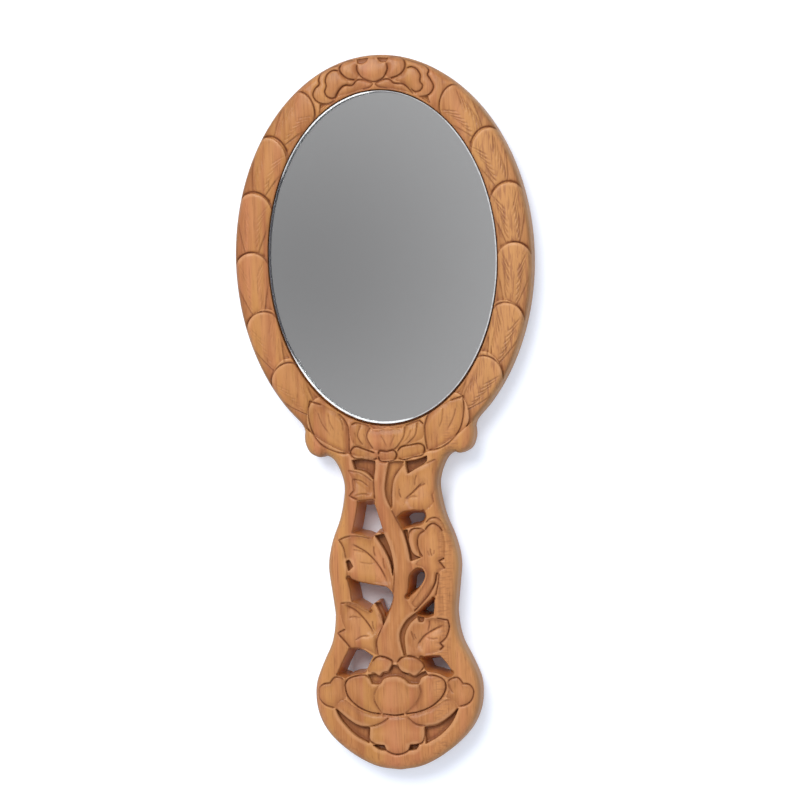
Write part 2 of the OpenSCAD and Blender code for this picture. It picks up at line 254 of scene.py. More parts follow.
# The carved forms: how far each one's edge falls, how far in the rounding reaches, and the points
# that its outline needs. A third value of 1 is a corner.
FORMS = {
    "stem": (0.5, 2, [
        (-5, -17, 1), (-5.7, -24), (-5.5, -30.5), (-4.2, -37), (-2.5, -43), (-0.4, -50), (0.4, -56.5),
        (-0.2, -63.5), (-1.8, -69.5), (-5, -75.8), (-6.6, -80), (-6.2, -85, 1), (-4, -85.6), (-1, -87.2),
        (0.4, -87.4), (2.6, -85.2, 1), (1.6, -81), (1.9, -76.8), (4.4, -72.8), (7, -70.4, 1), (5.6, -67.6),
        (4.3, -65.3, 1), (5.2, -61), (5.8, -57), (7, -55, 1), (6.4, -52, 1), (5.6, -47), (4.2, -42),
        (1.9, -37.4), (0.2, -33.9), (-1.6, -29.6), (-2, -25), (-0.4, -17.6, 1),
    ]),
    "leaf above left": (0.8, 2.5, [
        (-14.6, -19.9, 1), (-10, -21), (-6, -24, 1), (-5.8, -27), (-5.6, -30.4, 1), (-11.4, -30.3),
        (-14.6, -28.8, 1), (-12.8, -27, 1), (-13.2, -23),
    ]),
    "leaf above right": (0.7, 3, [
        (6.6, -21.4, 1), (10, -19.4), (16.6, -16.8, 1), (17, -21), (16.6, -26.4, 1), (14.8, -29.2, 1),
        (15.2, -32), (12.4, -34.7, 1), (8, -34.2), (4.2, -34.9), (2, -36.6, 1), (0.4, -33.4), (0.6, -27),
        (1.8, -22.4), (5.3, -18, 1),
    ]),
    "leaf big left": (0.8, 3, [
        (-18.8, -44.1, 1), (-15.4, -42.9), (-11, -43), (-7.3, -44.1, 1), (-6, -42.8, 1), (-3.6, -46),
        (-1.6, -50), (-0.6, -56), (-0.2, -62.6, 1), (-2.6, -60.7), (-6, -59.9), (-11.4, -59.2),
        (-16.4, -56.8, 1), (-16.4, -51), (-17.2, -46.8),
    ]),
    "leaf low left": (0.8, 3, [
        (-19, -66.2, 1), (-15.4, -66.1), (-12, -67.6), (-9.2, -69.2, 1), (-6.9, -66.6, 1), (-5.8, -69.4),
        (-4.2, -73.6), (-6.4, -77.8), (-6.6, -84.6, 1), (-11, -82.3), (-15.8, -82, 1), (-18.2, -79),
        (-20.4, -76.6, 1), (-17.4, -75.2, 1), (-18.8, -71),
    ]),
    "leaf low right": (0.8, 3, [
        (8.2, -71.6, 1), (8.8, -73.4), (10.6, -72.6), (14.6, -72.2), (18.8, -73, 1), (19.2, -75.6),
        (18, -79), (15.8, -81, 1), (16.9, -82.2, 1), (15.4, -83.6), (11.4, -84.9), (8, -85.6),
        (4, -85.2, 1), (3.2, -80), (4.4, -75.4),
    ]),
    "bud back petal": (1.2, 3, [
        (5.8, -44.4), (6.2, -42.2), (7.8, -40.8), (10.6, -40.9, 1), (11.8, -41.5, 1), (9.6, -43.2),
        (9, -46), (9.6, -48.8), (10.8, -50.8, 1), (7.6, -49.6), (6.2, -47.4),
    ]),
    "bud front petal": (0.8, 4, [
        (11.8, -41.5, 1), (13, -40), (14.8, -39.2), (16.8, -40.4), (18, -42.2), (18.8, -46),
        (18.4, -51.4, 1), (16.4, -52.4, 1), (18.4, -55, 1), (16.2, -56.4), (15, -60), (12.6, -63.4),
        (9.8, -66.6), (7.6, -68.4), (6.2, -66.8, 1), (9.2, -62.8), (11, -60), (12, -57), (10.8, -54.6),
        (8.2, -53.4), (9.8, -51.4, 1), (9.4, -48), (9.1, -45.4), (9.8, -43),
    ]),
    "bud curl": (0.6, 1.2, [
        (12.1, -38.9), (14, -37.4), (16.4, -37.4), (18.2, -39.4), (19, -41.8), (17.8, -41.6),
        (16.4, -39.5), (14.4, -38.9),
    ]),
    "branch": (0.7, 1.4, [
        (16.3, -56.6, 1), (15.9, -60), (14.8, -64.6), (12.4, -66.2), (9.8, -68.4), (7.4, -70.6, 1),
        (6.8, -69.8, 1), (9.8, -66.9), (12.8, -63.4), (14.7, -60), (15.3, -57),
    ]),
    "bud tip left": (0.9, 3, [
        (-7, -85.4), (-5, -85.1), (-2.4, -86), (-1.2, -87.2), (-1.9, -89.2), (-2.9, -90.6, 1),
        (-4.6, -90.8), (-6, -92), (-7.7, -91, 1), (-9.2, -90.8), (-10, -89.4), (-8.6, -87),
    ]),
    "bud tip right": (0.9, 3, [
        (0.3, -87.6), (1.6, -86), (4, -85.2), (7, -85.8), (9.2, -87.4), (10, -89, 1), (8.4, -90.9),
        (6.4, -92.3), (4.6, -91.4, 1), (2.9, -91.2), (1.2, -89.9),
    ]),
    "calyx left": (0.7, 2, [
        (-13.6, -14), (-12.9, -12.3), (-11.4, -11.6), (-8.6, -12.6), (-4.6, -14.2), (-4, -15.6),
        (-5.2, -16.4), (-8.6, -15.9), (-11.8, -15.9),
    ]),
    "calyx right": (0.7, 2, [
        (2.8, -14.2), (4.4, -12.3), (7.4, -11.7), (10.8, -11.3), (12.4, -12.2), (12.6, -13.9),
        (11.6, -15.5), (8.6, -15.9), (5.6, -16.8), (3, -16.2),
    ]),
    "calyx knob": (0.6, 2, [
        (-3.8, -15), (-3.2, -13.4), (-0.8, -13.7), (1.6, -13.3), (2.7, -14.7), (2, -16.6), (-0.6, -17.3),
        (-3.2, -16.8),
    ]),
    "base petal left": (1, 5, [
        (-18.3, -94.6), (-17, -92.6), (-14, -91.6), (-11, -91.5), (-9.6, -92.8), (-8.8, -94.6, 1),
        (-6, -94.7, 1), (-7.7, -97.4), (-8, -100.4), (-5.4, -105.2, 1), (-9.6, -104.6), (-14, -102.4),
        (-17.4, -98.8),
    ]),
    "base petal middle": (0.6, 4, [
        (-6, -94.6, 1), (-4.6, -93), (-2.4, -92.3), (0.6, -92.3), (2.8, -93.4), (4.4, -94.8),
        (7.7, -95, 1), (8.3, -98), (6.6, -101.6), (2.4, -105.4, 1), (-1, -105.8), (-5.4, -105.2, 1),
        (-7.9, -101), (-7.8, -97.6),
    ]),
    "base petal right": (1, 5, [
        (7.7, -95, 1), (8.8, -92.9), (11, -92), (14, -92.3), (16.8, -94), (17.3, -96.6), (15.4, -100.2),
        (11.4, -103.3), (6.6, -105, 1), (2.4, -105.4, 1), (6.4, -102), (8.3, -98.4),
    ]),
    "base lobe left": (0.8, 3, [
        (-18.4, -93.4, 1), (-19.6, -92.2), (-21.8, -92), (-23.6, -93.9, 1), (-26, -94.3), (-27.7, -96),
        (-27.5, -99.2), (-25.4, -101.6), (-22, -102.8, 1), (-20.4, -100.4), (-18.2, -99.4), (-18.6, -96.4),
    ]),
    "base lobe right": (0.8, 3, [
        (17.8, -94.8, 1), (19, -93.5), (21.6, -93.1), (23.4, -95.2, 1), (25.6, -95.6), (27, -97.8),
        (26.3, -100.8), (24.4, -102.5), (21.4, -103.3, 1), (19.8, -101), (17.4, -99.8), (18.2, -97.4),
    ]),
    "base sepal left": (0.8, 3, [
        (-21.9, -102.8, 1), (-20.6, -100.4), (-18.4, -100), (-15.6, -102.2), (-11.4, -104.6),
        (-5.4, -105.4), (-2.8, -106.2, 1), (-5.6, -108.2), (-9.4, -109.4), (-13.7, -109.2),
        (-17.6, -106.8),
    ]),
    "base sepal right": (0.8, 3, [
        (21.4, -103.6, 1), (19.6, -100.9), (17, -100.8), (12.8, -103.2), (7.6, -105), (3, -106.2, 1),
        (6, -108.8), (9.6, -109.6), (13.8, -109.2), (18, -106.8),
    ]),
    "base drop": (0.7, 3, [
        (-2.8, -106.3, 1), (3, -106.3, 1), (5.4, -108.6), (9.3, -109.9, 1), (9.4, -112.6), (8.4, -115.4),
        (6.2, -116.1), (4.2, -116.2, 1), (3.2, -118.2), (0.8, -119.3), (-1.8, -119.3), (-4.4, -118),
        (-5.2, -116.3, 1), (-8, -115.8), (-10.1, -114.4), (-10.5, -112), (-10.1, -109.8, 1), (-6, -108.6),
    ]),
    "ring leaf left": (0.5, 3, [
        (-27.4, 4.8, 1), (-28, 0), (-26.8, -6), (-23.6, -10.6), (-18.6, -13.3), (-14, -14, 1), (-13.8, -9),
        (-14, -4.6, 1), (-15.4, -2), (-17.4, 0.2, 1), (-22.6, 3.2),
    ]),
    "ring leaf right": (0.5, 3, [
        (26.8, 4.8, 1), (27, 0), (25.6, -6), (22.6, -10.2), (18.4, -13), (13.6, -13.8, 1), (13, -9),
        (13, -5, 1), (14, -2), (15.6, 0.4, 1), (21.6, 3.2),
    ]),
    "lotus": (0.5, 3, [
        (-13.6, -6), (-13, -4), (-11.4, -3.3, 1), (-8.4, -3.9), (-6.4, -5), (-4.4, -6.2), (-0.6, -5.9),
        (3.6, -6.1), (6, -5), (8.6, -3.9), (11.2, -3.2, 1), (12.7, -4.6), (12.8, -7), (11.8, -9.8),
        (7, -11.4), (2.4, -13.2), (-3.4, -13.4), (-8.6, -12.2), (-12.4, -10.4),
    ]),
    "flower middle": (0.6, 3, [
        (-6.4, 121.9, 1), (-4.6, 121.8), (-3, 122.6), (-1, 124), (0.8, 122.9), (2.2, 122), (3.8, 122.1, 1),
        (4.2, 120), (3.8, 118.4), (2.4, 116.4), (-0.6, 115.3), (-4.2, 116.5), (-6.1, 118.6), (-6.6, 120.4),
    ]),
    "flower left": (0.7, 3, [
        (-12.4, 121.4), (-11, 122.9), (-7.6, 123.2), (-6.4, 121.9, 1), (-6.6, 120.2), (-5.8, 117.8),
        (-7, 116.2, 1), (-9.8, 116.8), (-11.8, 118.4), (-12.7, 120),
    ]),
    "flower right": (0.7, 3, [
        (3.8, 122.1, 1), (5, 123.7), (7.6, 123.9), (9.8, 122.8), (10.5, 120.6), (9.6, 118.4), (7.6, 117),
        (4.9, 116.2, 1), (3.4, 117.8), (4.2, 120),
    ]),
    "scroll leaf left": (0.6, 2, [
        (-0.9, 114.8, 1), (-3.8, 116.1), (-6.6, 116.2), (-8.4, 114.5), (-11, 114.6), (-12.9, 113.2),
        (-14.6, 110.6, 1), (-9.6, 111.6), (-4.8, 112.9), (-2.2, 113.5),
    ]),
    "scroll leaf right": (0.6, 2, [
        (-0.4, 114.8, 1), (2, 115.9), (4.7, 116), (6.4, 114.6), (9.4, 114.2), (11.2, 112.8),
        (13.2, 110.4, 1), (8.6, 111.9), (4, 112.9), (0.8, 113.6),
    ]),
    "scroll outer left": (0.4, 2, [
        (-12.4, 121.8, 1), (-16.4, 120.9), (-19.2, 119.2), (-20.2, 117), (-20.1, 115.3), (-21.6, 113.8),
        (-22.4, 111.8), (-21.6, 109.9), (-19.6, 108.6), (-16.8, 108.4), (-14.4, 109.7, 1), (-12.6, 113),
        (-9, 114.6), (-7.2, 116.2, 1), (-9.8, 116.8), (-11.8, 118.4), (-12.7, 120),
    ]),
    "scroll outer right": (0.4, 2, [
        (10, 123, 1), (13.8, 121.6), (17, 120.4), (18.7, 118.6), (18.3, 116.9), (19.3, 115.2),
        (20.3, 112.8), (19.4, 110.7), (17.6, 109.6), (14.8, 109.3, 1), (12.6, 111.8), (9.6, 114.2),
        (5, 116.2, 1), (8, 117.2), (9.8, 118.7), (10.5, 120.8),
    ]),
    "scroll inner left": (0.6, 2.5, [
        (-12.8, 119.6), (-15, 120), (-17, 118.8), (-17.9, 116.6), (-17.6, 114.5), (-18.2, 112.6),
        (-17.4, 110.9), (-15.4, 110.2), (-13.6, 111.2), (-12.4, 113.4), (-9.6, 115.2), (-11, 117.4),
    ]),
    "scroll inner right": (0.6, 2.5, [
        (10.6, 119.4), (12.6, 120), (14.6, 119), (15.8, 116.8), (15.6, 114.8), (16.5, 113.2),
        (15.6, 111.6), (13.6, 111.2), (12, 112.6), (10, 114.4), (7, 115.6), (9.4, 117.2),
    ]),
}

# Ground cut down flat between the forms: how deep it lies, and its outline
SUNK = {
    "under calyx left": (3.2, [
        (-13, -16.4, 1), (-9, -16.2), (-5, -16.9, 1), (-5.2, -20), (-5.8, -23.2, 1), (-8.5, -20.6),
        (-12.2, -19.5, 1),
    ]),
    "under calyx right": (3.2, [
        (5.8, -17.3, 1), (9.5, -16.9), (13.3, -15.7, 1), (12.8, -17.8), (9, -20), (6.5, -21.5, 1),
        (6, -19.5),
    ]),
    "between stems": (1.7, [
        (-0.2, -17.6, 1), (2.5, -17.2), (5.3, -17.4, 1), (3, -20.6), (1, -24), (0.4, -29), (0.2, -33.7, 1),
        (-1.4, -30), (-1.8, -26), (-1, -21),
    ]),
    "round low right leaf": (1.8, [
        (7.2, -70.4, 1), (3.8, -73.2), (1.6, -78), (2.8, -85, 1), (3.7, -85, 1), (3.3, -78.8), (5, -74.4),
        (8.4, -71.4, 1),
    ]),
    "beside low left leaf": (3, [
        (-6.7, -66.4, 1), (-3.2, -66.2, 1), (-2.6, -70), (-4, -74, 1), (-4.8, -70.6),
    ]),
    "over low right leaf": (2, [(8, -71.4, 1), (10.4, -72, 1), (10, -73.4), (8.6, -73.4, 1)]),
    "beside big leaf": (3.4, [
        (-5.8, -43, 1), (-2.8, -42.4, 1), (-1, -47), (0, -52), (-0.1, -57, 1), (-0.9, -52.5), (-2.8, -48),
    ]),
    "beside bud": (2.4, [
        (4.2, -41.4, 1), (5.6, -41.2, 1), (6, -46), (7.2, -49.4), (9.8, -51, 1), (6.4, -52.1, 1),
        (5.7, -47.5),
    ]),
    "between buds and lotus": (2.2, [
        (-10, -91.4, 1), (-7.7, -91.2, 1), (-6, -92.2), (-4.6, -91, 1), (-2.8, -90.8, 1), (-1.4, -88.4),
        (0.2, -88.6), (1.4, -90.2), (4.4, -91.6, 1), (6.4, -92.5), (8.6, -91.2), (10.2, -90.6, 1),
        (11, -91.9, 1), (8.8, -92.8), (7.7, -95, 1), (4.4, -94.8), (2.8, -93.4), (0.6, -92.3),
        (-2.4, -92.3), (-4.6, -93), (-6, -94.7), (-8.8, -94.6, 1), (-9.6, -92.6),
    ]),
    "left crescent": (2.6, [
        (-21.8, -103.2, 1), (-17.7, -106.8), (-13.7, -109.3), (-10.1, -109.8, 1), (-10.5, -115.2, 1),
        (-15.4, -112.2), (-20, -107),
    ]),
    "right crescent": (2.6, [
        (21.3, -103.9, 1), (18.9, -108.7), (14.6, -113), (9.6, -115.8, 1), (9.3, -110, 1), (13.8, -109.5),
        (18, -106.9),
    ]),
    "left pit": (3, [(-9, -116, 1), (-5.3, -116.3, 1), (-4.8, -117.9, 1), (-7, -117.5)]),
    "right pit": (3, [(4, -116.4, 1), (7, -116.2, 1), (6, -117.7), (3.5, -118.1, 1)]),
    "leaf pit": (2.6, [(-16.4, -51.8, 1), (-15.4, -51.2), (-14.1, -53.5, 1), (-15.7, -54.9, 1)]),
    "beside flower left": (1.6, [
        (-6.7, 123.6, 1), (-6.3, 121.9, 1), (-4.6, 121.8), (-3.2, 122.5), (-2.2, 123.9, 1),
    ]),
    "beside flower right": (1.6, [(0.5, 123.8, 1), (1.8, 122.2), (3.8, 122.1, 1), (4.8, 123.6, 1)]),
    "over lotus": (1.4, [
        (-6.6, -4.4, 1), (-5, -5.6), (-2, -5.6), (0, -5.1), (2, -5.7), (4.6, -5.6), (6.4, -4.3, 1),
        (0, -4, 1),
    ]),
    "head left corner": (1.4, [(-20, 108.4, 1), (-17.3, 108.2, 1), (-20.5, 105, 1)]),
    "head right corner": (1.4, [(15.8, 109, 1), (18.1, 109.5, 1), (18.9, 106.8, 1)]),
}

# Wide, shallow gouge cuts that dish the leaves along their main veins: path, depth, width, leaf
DISHES = [
    ([(-14, -22.5), (-10, -25.5), (-6.4, -29)], 0.7, 4, "leaf above left"),
    ([(3.6, -33), (8.4, -27.8), (13.4, -23.4)], 0.9, 6, "leaf above right"),
    ([(-17, -45), (-8.8, -49), (-4.4, -54.4), (-1.2, -61.4)], 1.1, 7, "leaf big left"),
    ([(-18.4, -66.6), (-11.2, -71.4), (-7, -78.6)], 1.1, 6.5, "leaf low left"),
    ([(6, -84), (12, -77.2), (18.6, -73.8)], 1.1, 6.5, "leaf low right"),
    ([(-26, 3.4), (-24, -4), (-15, -12)], 0.6, 6, "ring leaf left"),
    ([(25.4, 3.4), (23.4, -4), (14.6, -12)], 0.6, 6, "ring leaf right"),
]

# Fine V-cut veins: path, depth, width
VEINS = [
    ([(-13.6, -23), (-10, -23.8), (-7, -26.4)], 0.45, 0.5),
    ([(-12.6, -28.8), (-9.4, -28.2), (-7, -28.8)], 0.4, 0.5),
    ([(5, -30.6), (8.4, -27.8), (11.8, -24.4)], 0.6, 0.6),
    ([(9.6, -22), (8.9, -24), (8.7, -26.6)], 0.4, 0.5),
    ([(3.4, -26.6), (3.3, -28.4), (3.9, -30.4)], 0.45, 0.55),
    ([(5.4, -30.6), (7.6, -29.6), (10, -29.9)], 0.4, 0.5),
    ([(12.6, -25.2), (10.2, -26.2), (8.8, -27.2)], 0.4, 0.5),
    ([(-14.6, -45.4), (-8.8, -49), (-4.4, -54.4), (-1.4, -61)], 0.6, 0.6),
    ([(-6.4, -46.4), (-6.5, -48.6), (-5.9, -50.8)], 0.5, 0.55),
    ([(-3.3, -50.6), (-3.3, -52.6), (-2.7, -55.4)], 0.5, 0.55),
    ([(-14, -47.6), (-11.4, -48.1), (-9, -49)], 0.35, 0.5),
    ([(-11.6, -52), (-8.6, -52.6), (-6, -52.6)], 0.3, 0.5),
    ([(-17.6, -66.8), (-14, -68.6), (-11.2, -71.4), (-8.6, -75), (-7, -78.6)], 0.6, 0.6),
    ([(-5.5, -70.4), (-4.9, -72), (-4.3, -73.6)], 0.4, 0.5),
    ([(-7.8, -72.6), (-7.8, -74.4), (-7.2, -76.4)], 0.4, 0.5),
    ([(-16.2, -71.3), (-14, -71), (-11.6, -71.8)], 0.35, 0.5),
    ([(-14.2, -79.4), (-11.6, -77.9), (-8.6, -77.9)], 0.4, 0.5),
    ([(7.6, -81.6), (10, -78.6), (13, -76.6), (18.4, -74.2)], 0.6, 0.6),
    ([(5.8, -76.4), (6.2, -78.4), (7, -80.4)], 0.45, 0.5),
    ([(6.8, -77.4), (7, -78.6), (7.6, -79.8)], 0.4, 0.45),
    ([(12.2, -72.8), (12.2, -74.6), (11.4, -77.4)], 0.45, 0.5),
    ([(15.2, -79.2), (13, -79.4), (10.6, -78.8)], 0.4, 0.5),
    ([(13.6, -47.8), (13.6, -49.4), (14.2, -51)], 0.4, 0.5),
    ([(12.6, -48.6), (12.8, -49.8), (13.4, -50.8)], 0.3, 0.4),
    ([(14.8, -48.4), (14.8, -49.4), (14.2, -50.4)], 0.3, 0.4),
    ([(-17, -1), (-16, -3.6), (-15.8, -7)], 0.4, 0.5),
    ([(-24.6, 1), (-23.4, -3), (-20.4, -7.6)], 0.35, 0.5),
    ([(-21, 0.4), (-20.4, -3), (-18.6, -6.6)], 0.3, 0.5),
    ([(24.2, 1), (23, -3), (20.4, -7.4)], 0.35, 0.5),
    ([(19.6, 1), (19.2, -3), (17.6, -7)], 0.3, 0.5),
    ([(-8.6, -7), (-7.6, -10), (-5.6, -12.6)], 0.35, 0.5),
    ([(-11.8, -6.6), (-11, -9)], 0.3, 0.4),
    ([(-2.6, -8), (-1, -11), (-0.6, -13)], 0.3, 0.5),
    ([(2.4, -8), (1, -11), (0.4, -13)], 0.3, 0.5),
    ([(8.2, -6.2), (7, -9), (4.6, -11.4)], 0.35, 0.5),
    ([(18.2, -95), (19, -97.4), (20.3, -98.8)], 0.35, 0.5),
]

# Stepped cuts where forms overlap, each along a run of a form's outline: first point, how many points
# on (negative for backwards), depth, and how far it spreads to the left and right of the travel. The
# narrow side is the wall of the form on top, and the wide side slopes down under it.
STEPS = {
    "base petal middle": [(0, -3, 0.3, 0.35, 3), (6, 3, 0.3, 3, 0.35), (11, -2, 1.1, 0.4, 1.6)],
    "base petal left": [(1, -5, 1.1, 0.4, 1.6), (4, -4, 0.7, 0.4, 0.8)],
    "base petal right": [(9, -5, 1.1, 0.4, 1.6), (2, 3, 0.7, 0.8, 0.4)],
    "base lobe left": [(0, 8, 0.6, 0.4, 0.7)],
    "base lobe right": [(0, 8, 0.7, 0.9, 0.4)],
    "base sepal left": [(6, 5, 0.6, 0.6, 0.3)],
    "base sepal right": [(5, 5, 0.6, 0.3, 0.6)],
    "base drop": [(16, -13, 0.8, 0.35, 0.8)],
    "bud tip left": [(11, 10, 0.8, 0.7, 0.35)],
    "bud tip right": [(0, 11, 0.8, 0.7, 0.35)],
    "stem": [
        (0, 2, 0.7, 0.35, 1.2), (29, -4, 0.6, 1, 0.35), (5, 2, 0.7, 0.35, 1.6), (8, 3, 0.8, 0.35, 1.6),
    ],
    "branch": [(0, -5, 0.9, 0.4, 1.1), (0, 2, 0.5, 0.4, 0.6)],
    "leaf above left": [(0, 2, 0.4, 0.5, 0.5), (8, -3, 0.5, 0.4, 0.7)],
    "leaf above right": [(0, 2, 0.4, 0.4, 0.5), (4, 2, 0.4, 0.4, 0.5), (11, 3, 0.8, 0.6, 0.4)],
    "leaf big left": [(3, -5, 0.55, 0.4, 0.6)],
    "leaf low left": [(3, -3, 0.5, 0.4, 0.6), (13, -3, 0.7, 0.4, 0.6)],
    "leaf low right": [(3, 6, 0.8, 0.9, 0.4)],
    "bud back petal": [(0, 3, 0.6, 0.5, 0.35), (4, 4, 0.7, 0.35, 2.4)],
    "bud front petal": [(0, 4, 0.8, 0.8, 0.4), (6, 2, 0.8, 1.2, 0.4)],
    "bud curl": [(0, 4, 0.5, 0.6, 0.3)],
    "calyx left": [(4, -8, 0.9, 0.4, 0.9)],
    "calyx right": [(0, 9, 0.9, 0.9, 0.4)],
    "calyx knob": [(0, 8, 0.9, 0.8, 0.4)],
    "lotus": [(1, 3, 0.7, 0.8, 0.35), (8, 3, 0.7, 0.8, 0.35)],
    "ring leaf left": [(9, -4, 0.7, 0.6, 1.6), (10, 6, 0.75, 0.4, 1.2)],
    "ring leaf right": [(9, -4, 0.7, 1.6, 0.6), (10, 6, 0.75, 1.2, 0.4)],
    "flower middle": [(0, -8, 0.8, 0.35, 1.8)],
    "flower left": [(2, -6, 0.9, 0.4, 1.2)],
    "flower right": [(1, 6, 0.9, 1.2, 0.4)],
    "scroll leaf left": [(0, 6, 0.9, 0.4, 1), (0, -2, 0.6, 0.35, 0.6)],
    "scroll leaf right": [(0, 6, 0.9, 1, 0.4), (0, -2, 0.6, 0.6, 0.35)],
    "scroll outer left": [(0, 10, 0.9, 0.4, 1)],
    "scroll outer right": [(0, 9, 0.9, 1, 0.4)],
    "scroll inner left": [(0, 8, 0.8, 0.35, 1.2)],
    "scroll inner right": [(0, 8, 0.8, 1.2, 0.35)],
}

# The same cuts between the small petals of the lotus below the glass: path, depth, left, right
PETAL_STEPS = [
    ([(-9.6, -4.2), (-10.8, -8), (-9, -11.2)], 0.5, 0.35, 1.4),
    ([(-6.2, -5), (-7.6, -8.4), (-5.4, -12.8)], 0.6, 0.35, 2),
    ([(6, -5), (5.5, -8.6), (3.2, -12), (1.6, -13.3)], 0.6, 2, 0.35),
    ([(10.4, -3.8), (9.5, -8.4), (6.4, -11.4)], 0.5, 1.4, 0.35),
]


SCALE_STEP = 19  # degrees
SCALE_TIPS = [60 - SCALE_STEP * k for k in range(6)]  # degrees round the head, from +X
SCALE_TIP_DROP = 5.2  # how far a rounded tip falls back at the ring's edges, degrees
BARBS = 6  # strokes on each side of a scale
BARB_RUN = 0.42  # how far a barb runs toward the tip, as a share of the step
BARB_WIDTH = 0.45  # mm
SCALE_DEPTH, TAIL_DEPTH = 0.8, 0.45  # depths of the cuts round a tip and beside a tail, mm
TAIL_SLOPES = (2.4, 0.3)  # spread of a tail's cut outside the tail and on it, mm
# On the right (1) and the left (-1): spread of a tip's cut to its left and right in mm, the painted
# shade at its two ends, and the depth of a barb in mm
SCALE_CUTS = {1: ((1.2, 0.35), (0.9, 1.1), 0.34), -1: ((0.35, 1.2), (1.8, 0.7), 0.16)}
# The tail's inner (-1) and outer (1) edge: across the ring, and back from the tip in steps
TAILS = {
    -1: [(0.03, 0.5), (0.14, 0.72), (0.3, 1.02)],
    1: [(0.97, 0.45), (0.86, 0.7), (0.68, 1.02)],
}
SCALE_LIFT = 0.7  # how far a tip stands above the scale that it covers, mm
SCALE_CROWN = 0.5  # how far a scale's sides fall at its tail, mm
RING_CROWN = 0.7  # how far the whole domed ring falls at its edges, mm


def ring_spot(angle, across, side):
    """A point of the ring, where across runs from 0 at the pocket to 1 outside. side is -1 for the left."""
    half = PANE_HALF + (HEAD_HALF - PANE_HALF) * across
    a = math.radians(angle)
    return side * half[0] * math.cos(a), HEAD_Y + half[1] * math.sin(a)


def tip_drop(across):
    """How far a scale's round tip falls back, in degrees."""
    return SCALE_TIP_DROP * (1 - np.sqrt(np.clip(1 - (2 * across - 1) ** 2, 0, 1)))


def carve_scales(carving):
    """Six overlapping, feathered scales on each side, whose tails narrow under the next one."""
    x, y = np.meshgrid(carving.x, carving.y, indexing="ij")
    inner = np.hypot(x / PANE_HALF[0], (y - HEAD_Y) / PANE_HALF[1])
    outer = np.hypot(x / HEAD_HALF[0], (y - HEAD_Y) / HEAD_HALF[1])
    across = np.clip((inner - 1) / np.maximum(inner - outer, 1e-6), 0, 1)
    angle = np.degrees(np.arctan2((y - HEAD_Y) / HEAD_HALF[1], np.abs(x) / HEAD_HALF[0]))
    back = tip_drop(across)
    on_ring = (inner > 1) & (outer < 1)
    # The whole ring is gently domed.
    carving.top -= np.where(on_ring, RING_CROWN * (2 * across - 1) ** 2, 0)
    # Painted highlight along the ring's middle, falling to painted shade at its edges
    carving.form_shading = np.where(on_ring, 1 - 0.9 * np.abs(2 * across - 1) ** 1.5, carving.form_shading)
    for tip in SCALE_TIPS:
        behind = (tip - back - angle) / SCALE_STEP  # 0 at this tip, 1 at the next one
        on_scale = on_ring & (behind >= 0) & (behind < 1)
        carving.top -= np.where(on_scale, SCALE_LIFT * np.clip(behind, 0, 1) ** 1.3, 0)
        carving.top -= np.where(on_scale, SCALE_CROWN * behind * (2 * across - 1) ** 2, 0)
        # Painted shade toward each scale's tail, where the next tip overhangs it
        carving.form_shading -= np.where(on_scale, 0.5 * np.clip(behind, 0, 1) ** 2, 0)
    for side in (1, -1):
        spread, dark, barb_depth = SCALE_CUTS[side]
        for tip in SCALE_TIPS:
            edge = [ring_spot(tip - tip_drop(share), share, side) for share in np.linspace(0.02, 0.98, 13)]
            carving.line(curve(edge), SCALE_DEPTH, *spread, fade=(0, 0), dark=dark)
            for outward, tail in TAILS.items():
                path = [ring_spot(tip - steps * SCALE_STEP, share, side) for share, steps in tail]
                slopes = TAIL_SLOPES if outward * side > 0 else TAIL_SLOPES[::-1]
                carving.line(curve(path), TAIL_DEPTH, *slopes, fade=(0.3, 0), dark=(0.6, 1))
            for k in range(BARBS):
                for way in (-1, 1):
                    root = 0.5 + 0.1 * k + (0.03 if way > 0 else 0)
                    barb = [
                        ring_spot(tip - (root - on) * SCALE_STEP, 0.5 + out * way, side)
                        for on, out in ((0, 0.05), (0.16, 0.2), (BARB_RUN, 0.43 - 0.035 * k))
                    ]
                    carving.line(curve(barb), barb_depth, BARB_WIDTH, BARB_WIDTH, fade=(0.3, 0.4))


RELIEF_STEP = 0.15  # mm
SOFTNESS = 0.4  # share of each form's fall that is left after it was dressed flat
TOOL_MARKS = [(0.05, (3, 6), 3), (0.03, (1.2, 2), 5)]  # height, size across and along, mm, and seed
LIP = 0.25  # least height of the wood above the glass, mm
LIP_REACH = 0.03  # how far out from the glass that holds, as a share of its half size
LIP_SLOPE = 40  # how fast it gives way beyond, mm for each half size


def between(grid, i, j, u, v):
    """The blend of a grid's four values round each spot, at the shares u and v of a cell."""
    low = grid[i, j] * (1 - u) * (1 - v) + grid[i + 1, j] * u * (1 - v)
    return low + grid[i, j + 1] * (1 - u) * v + grid[i + 1, j + 1] * u * v


def wander(x, y, cell, seed):
    """Smooth random waves, about -1 to 1, whose size across and along is cell."""
    draw = np.random.default_rng(seed)
    i, j = x / cell[0], y / cell[1]
    i, j = i - i.min() + 1, j - j.min() + 1
    values = draw.uniform(-1, 1, (int(i.max()) + 3, int(j.max()) + 3))
    i0, j0 = i.astype(int), j.astype(int)
    return between(values, i0, j0, smooth_step(i - i0), smooth_step(j - j0))


def run(outline, first, count):
    """The points of a closed outline from the first one on, count steps, or backwards if negative."""
    way = 1 if count > 0 else -1
    return [outline[(first + way * k) % len(outline)] for k in range(abs(count) + 1)]


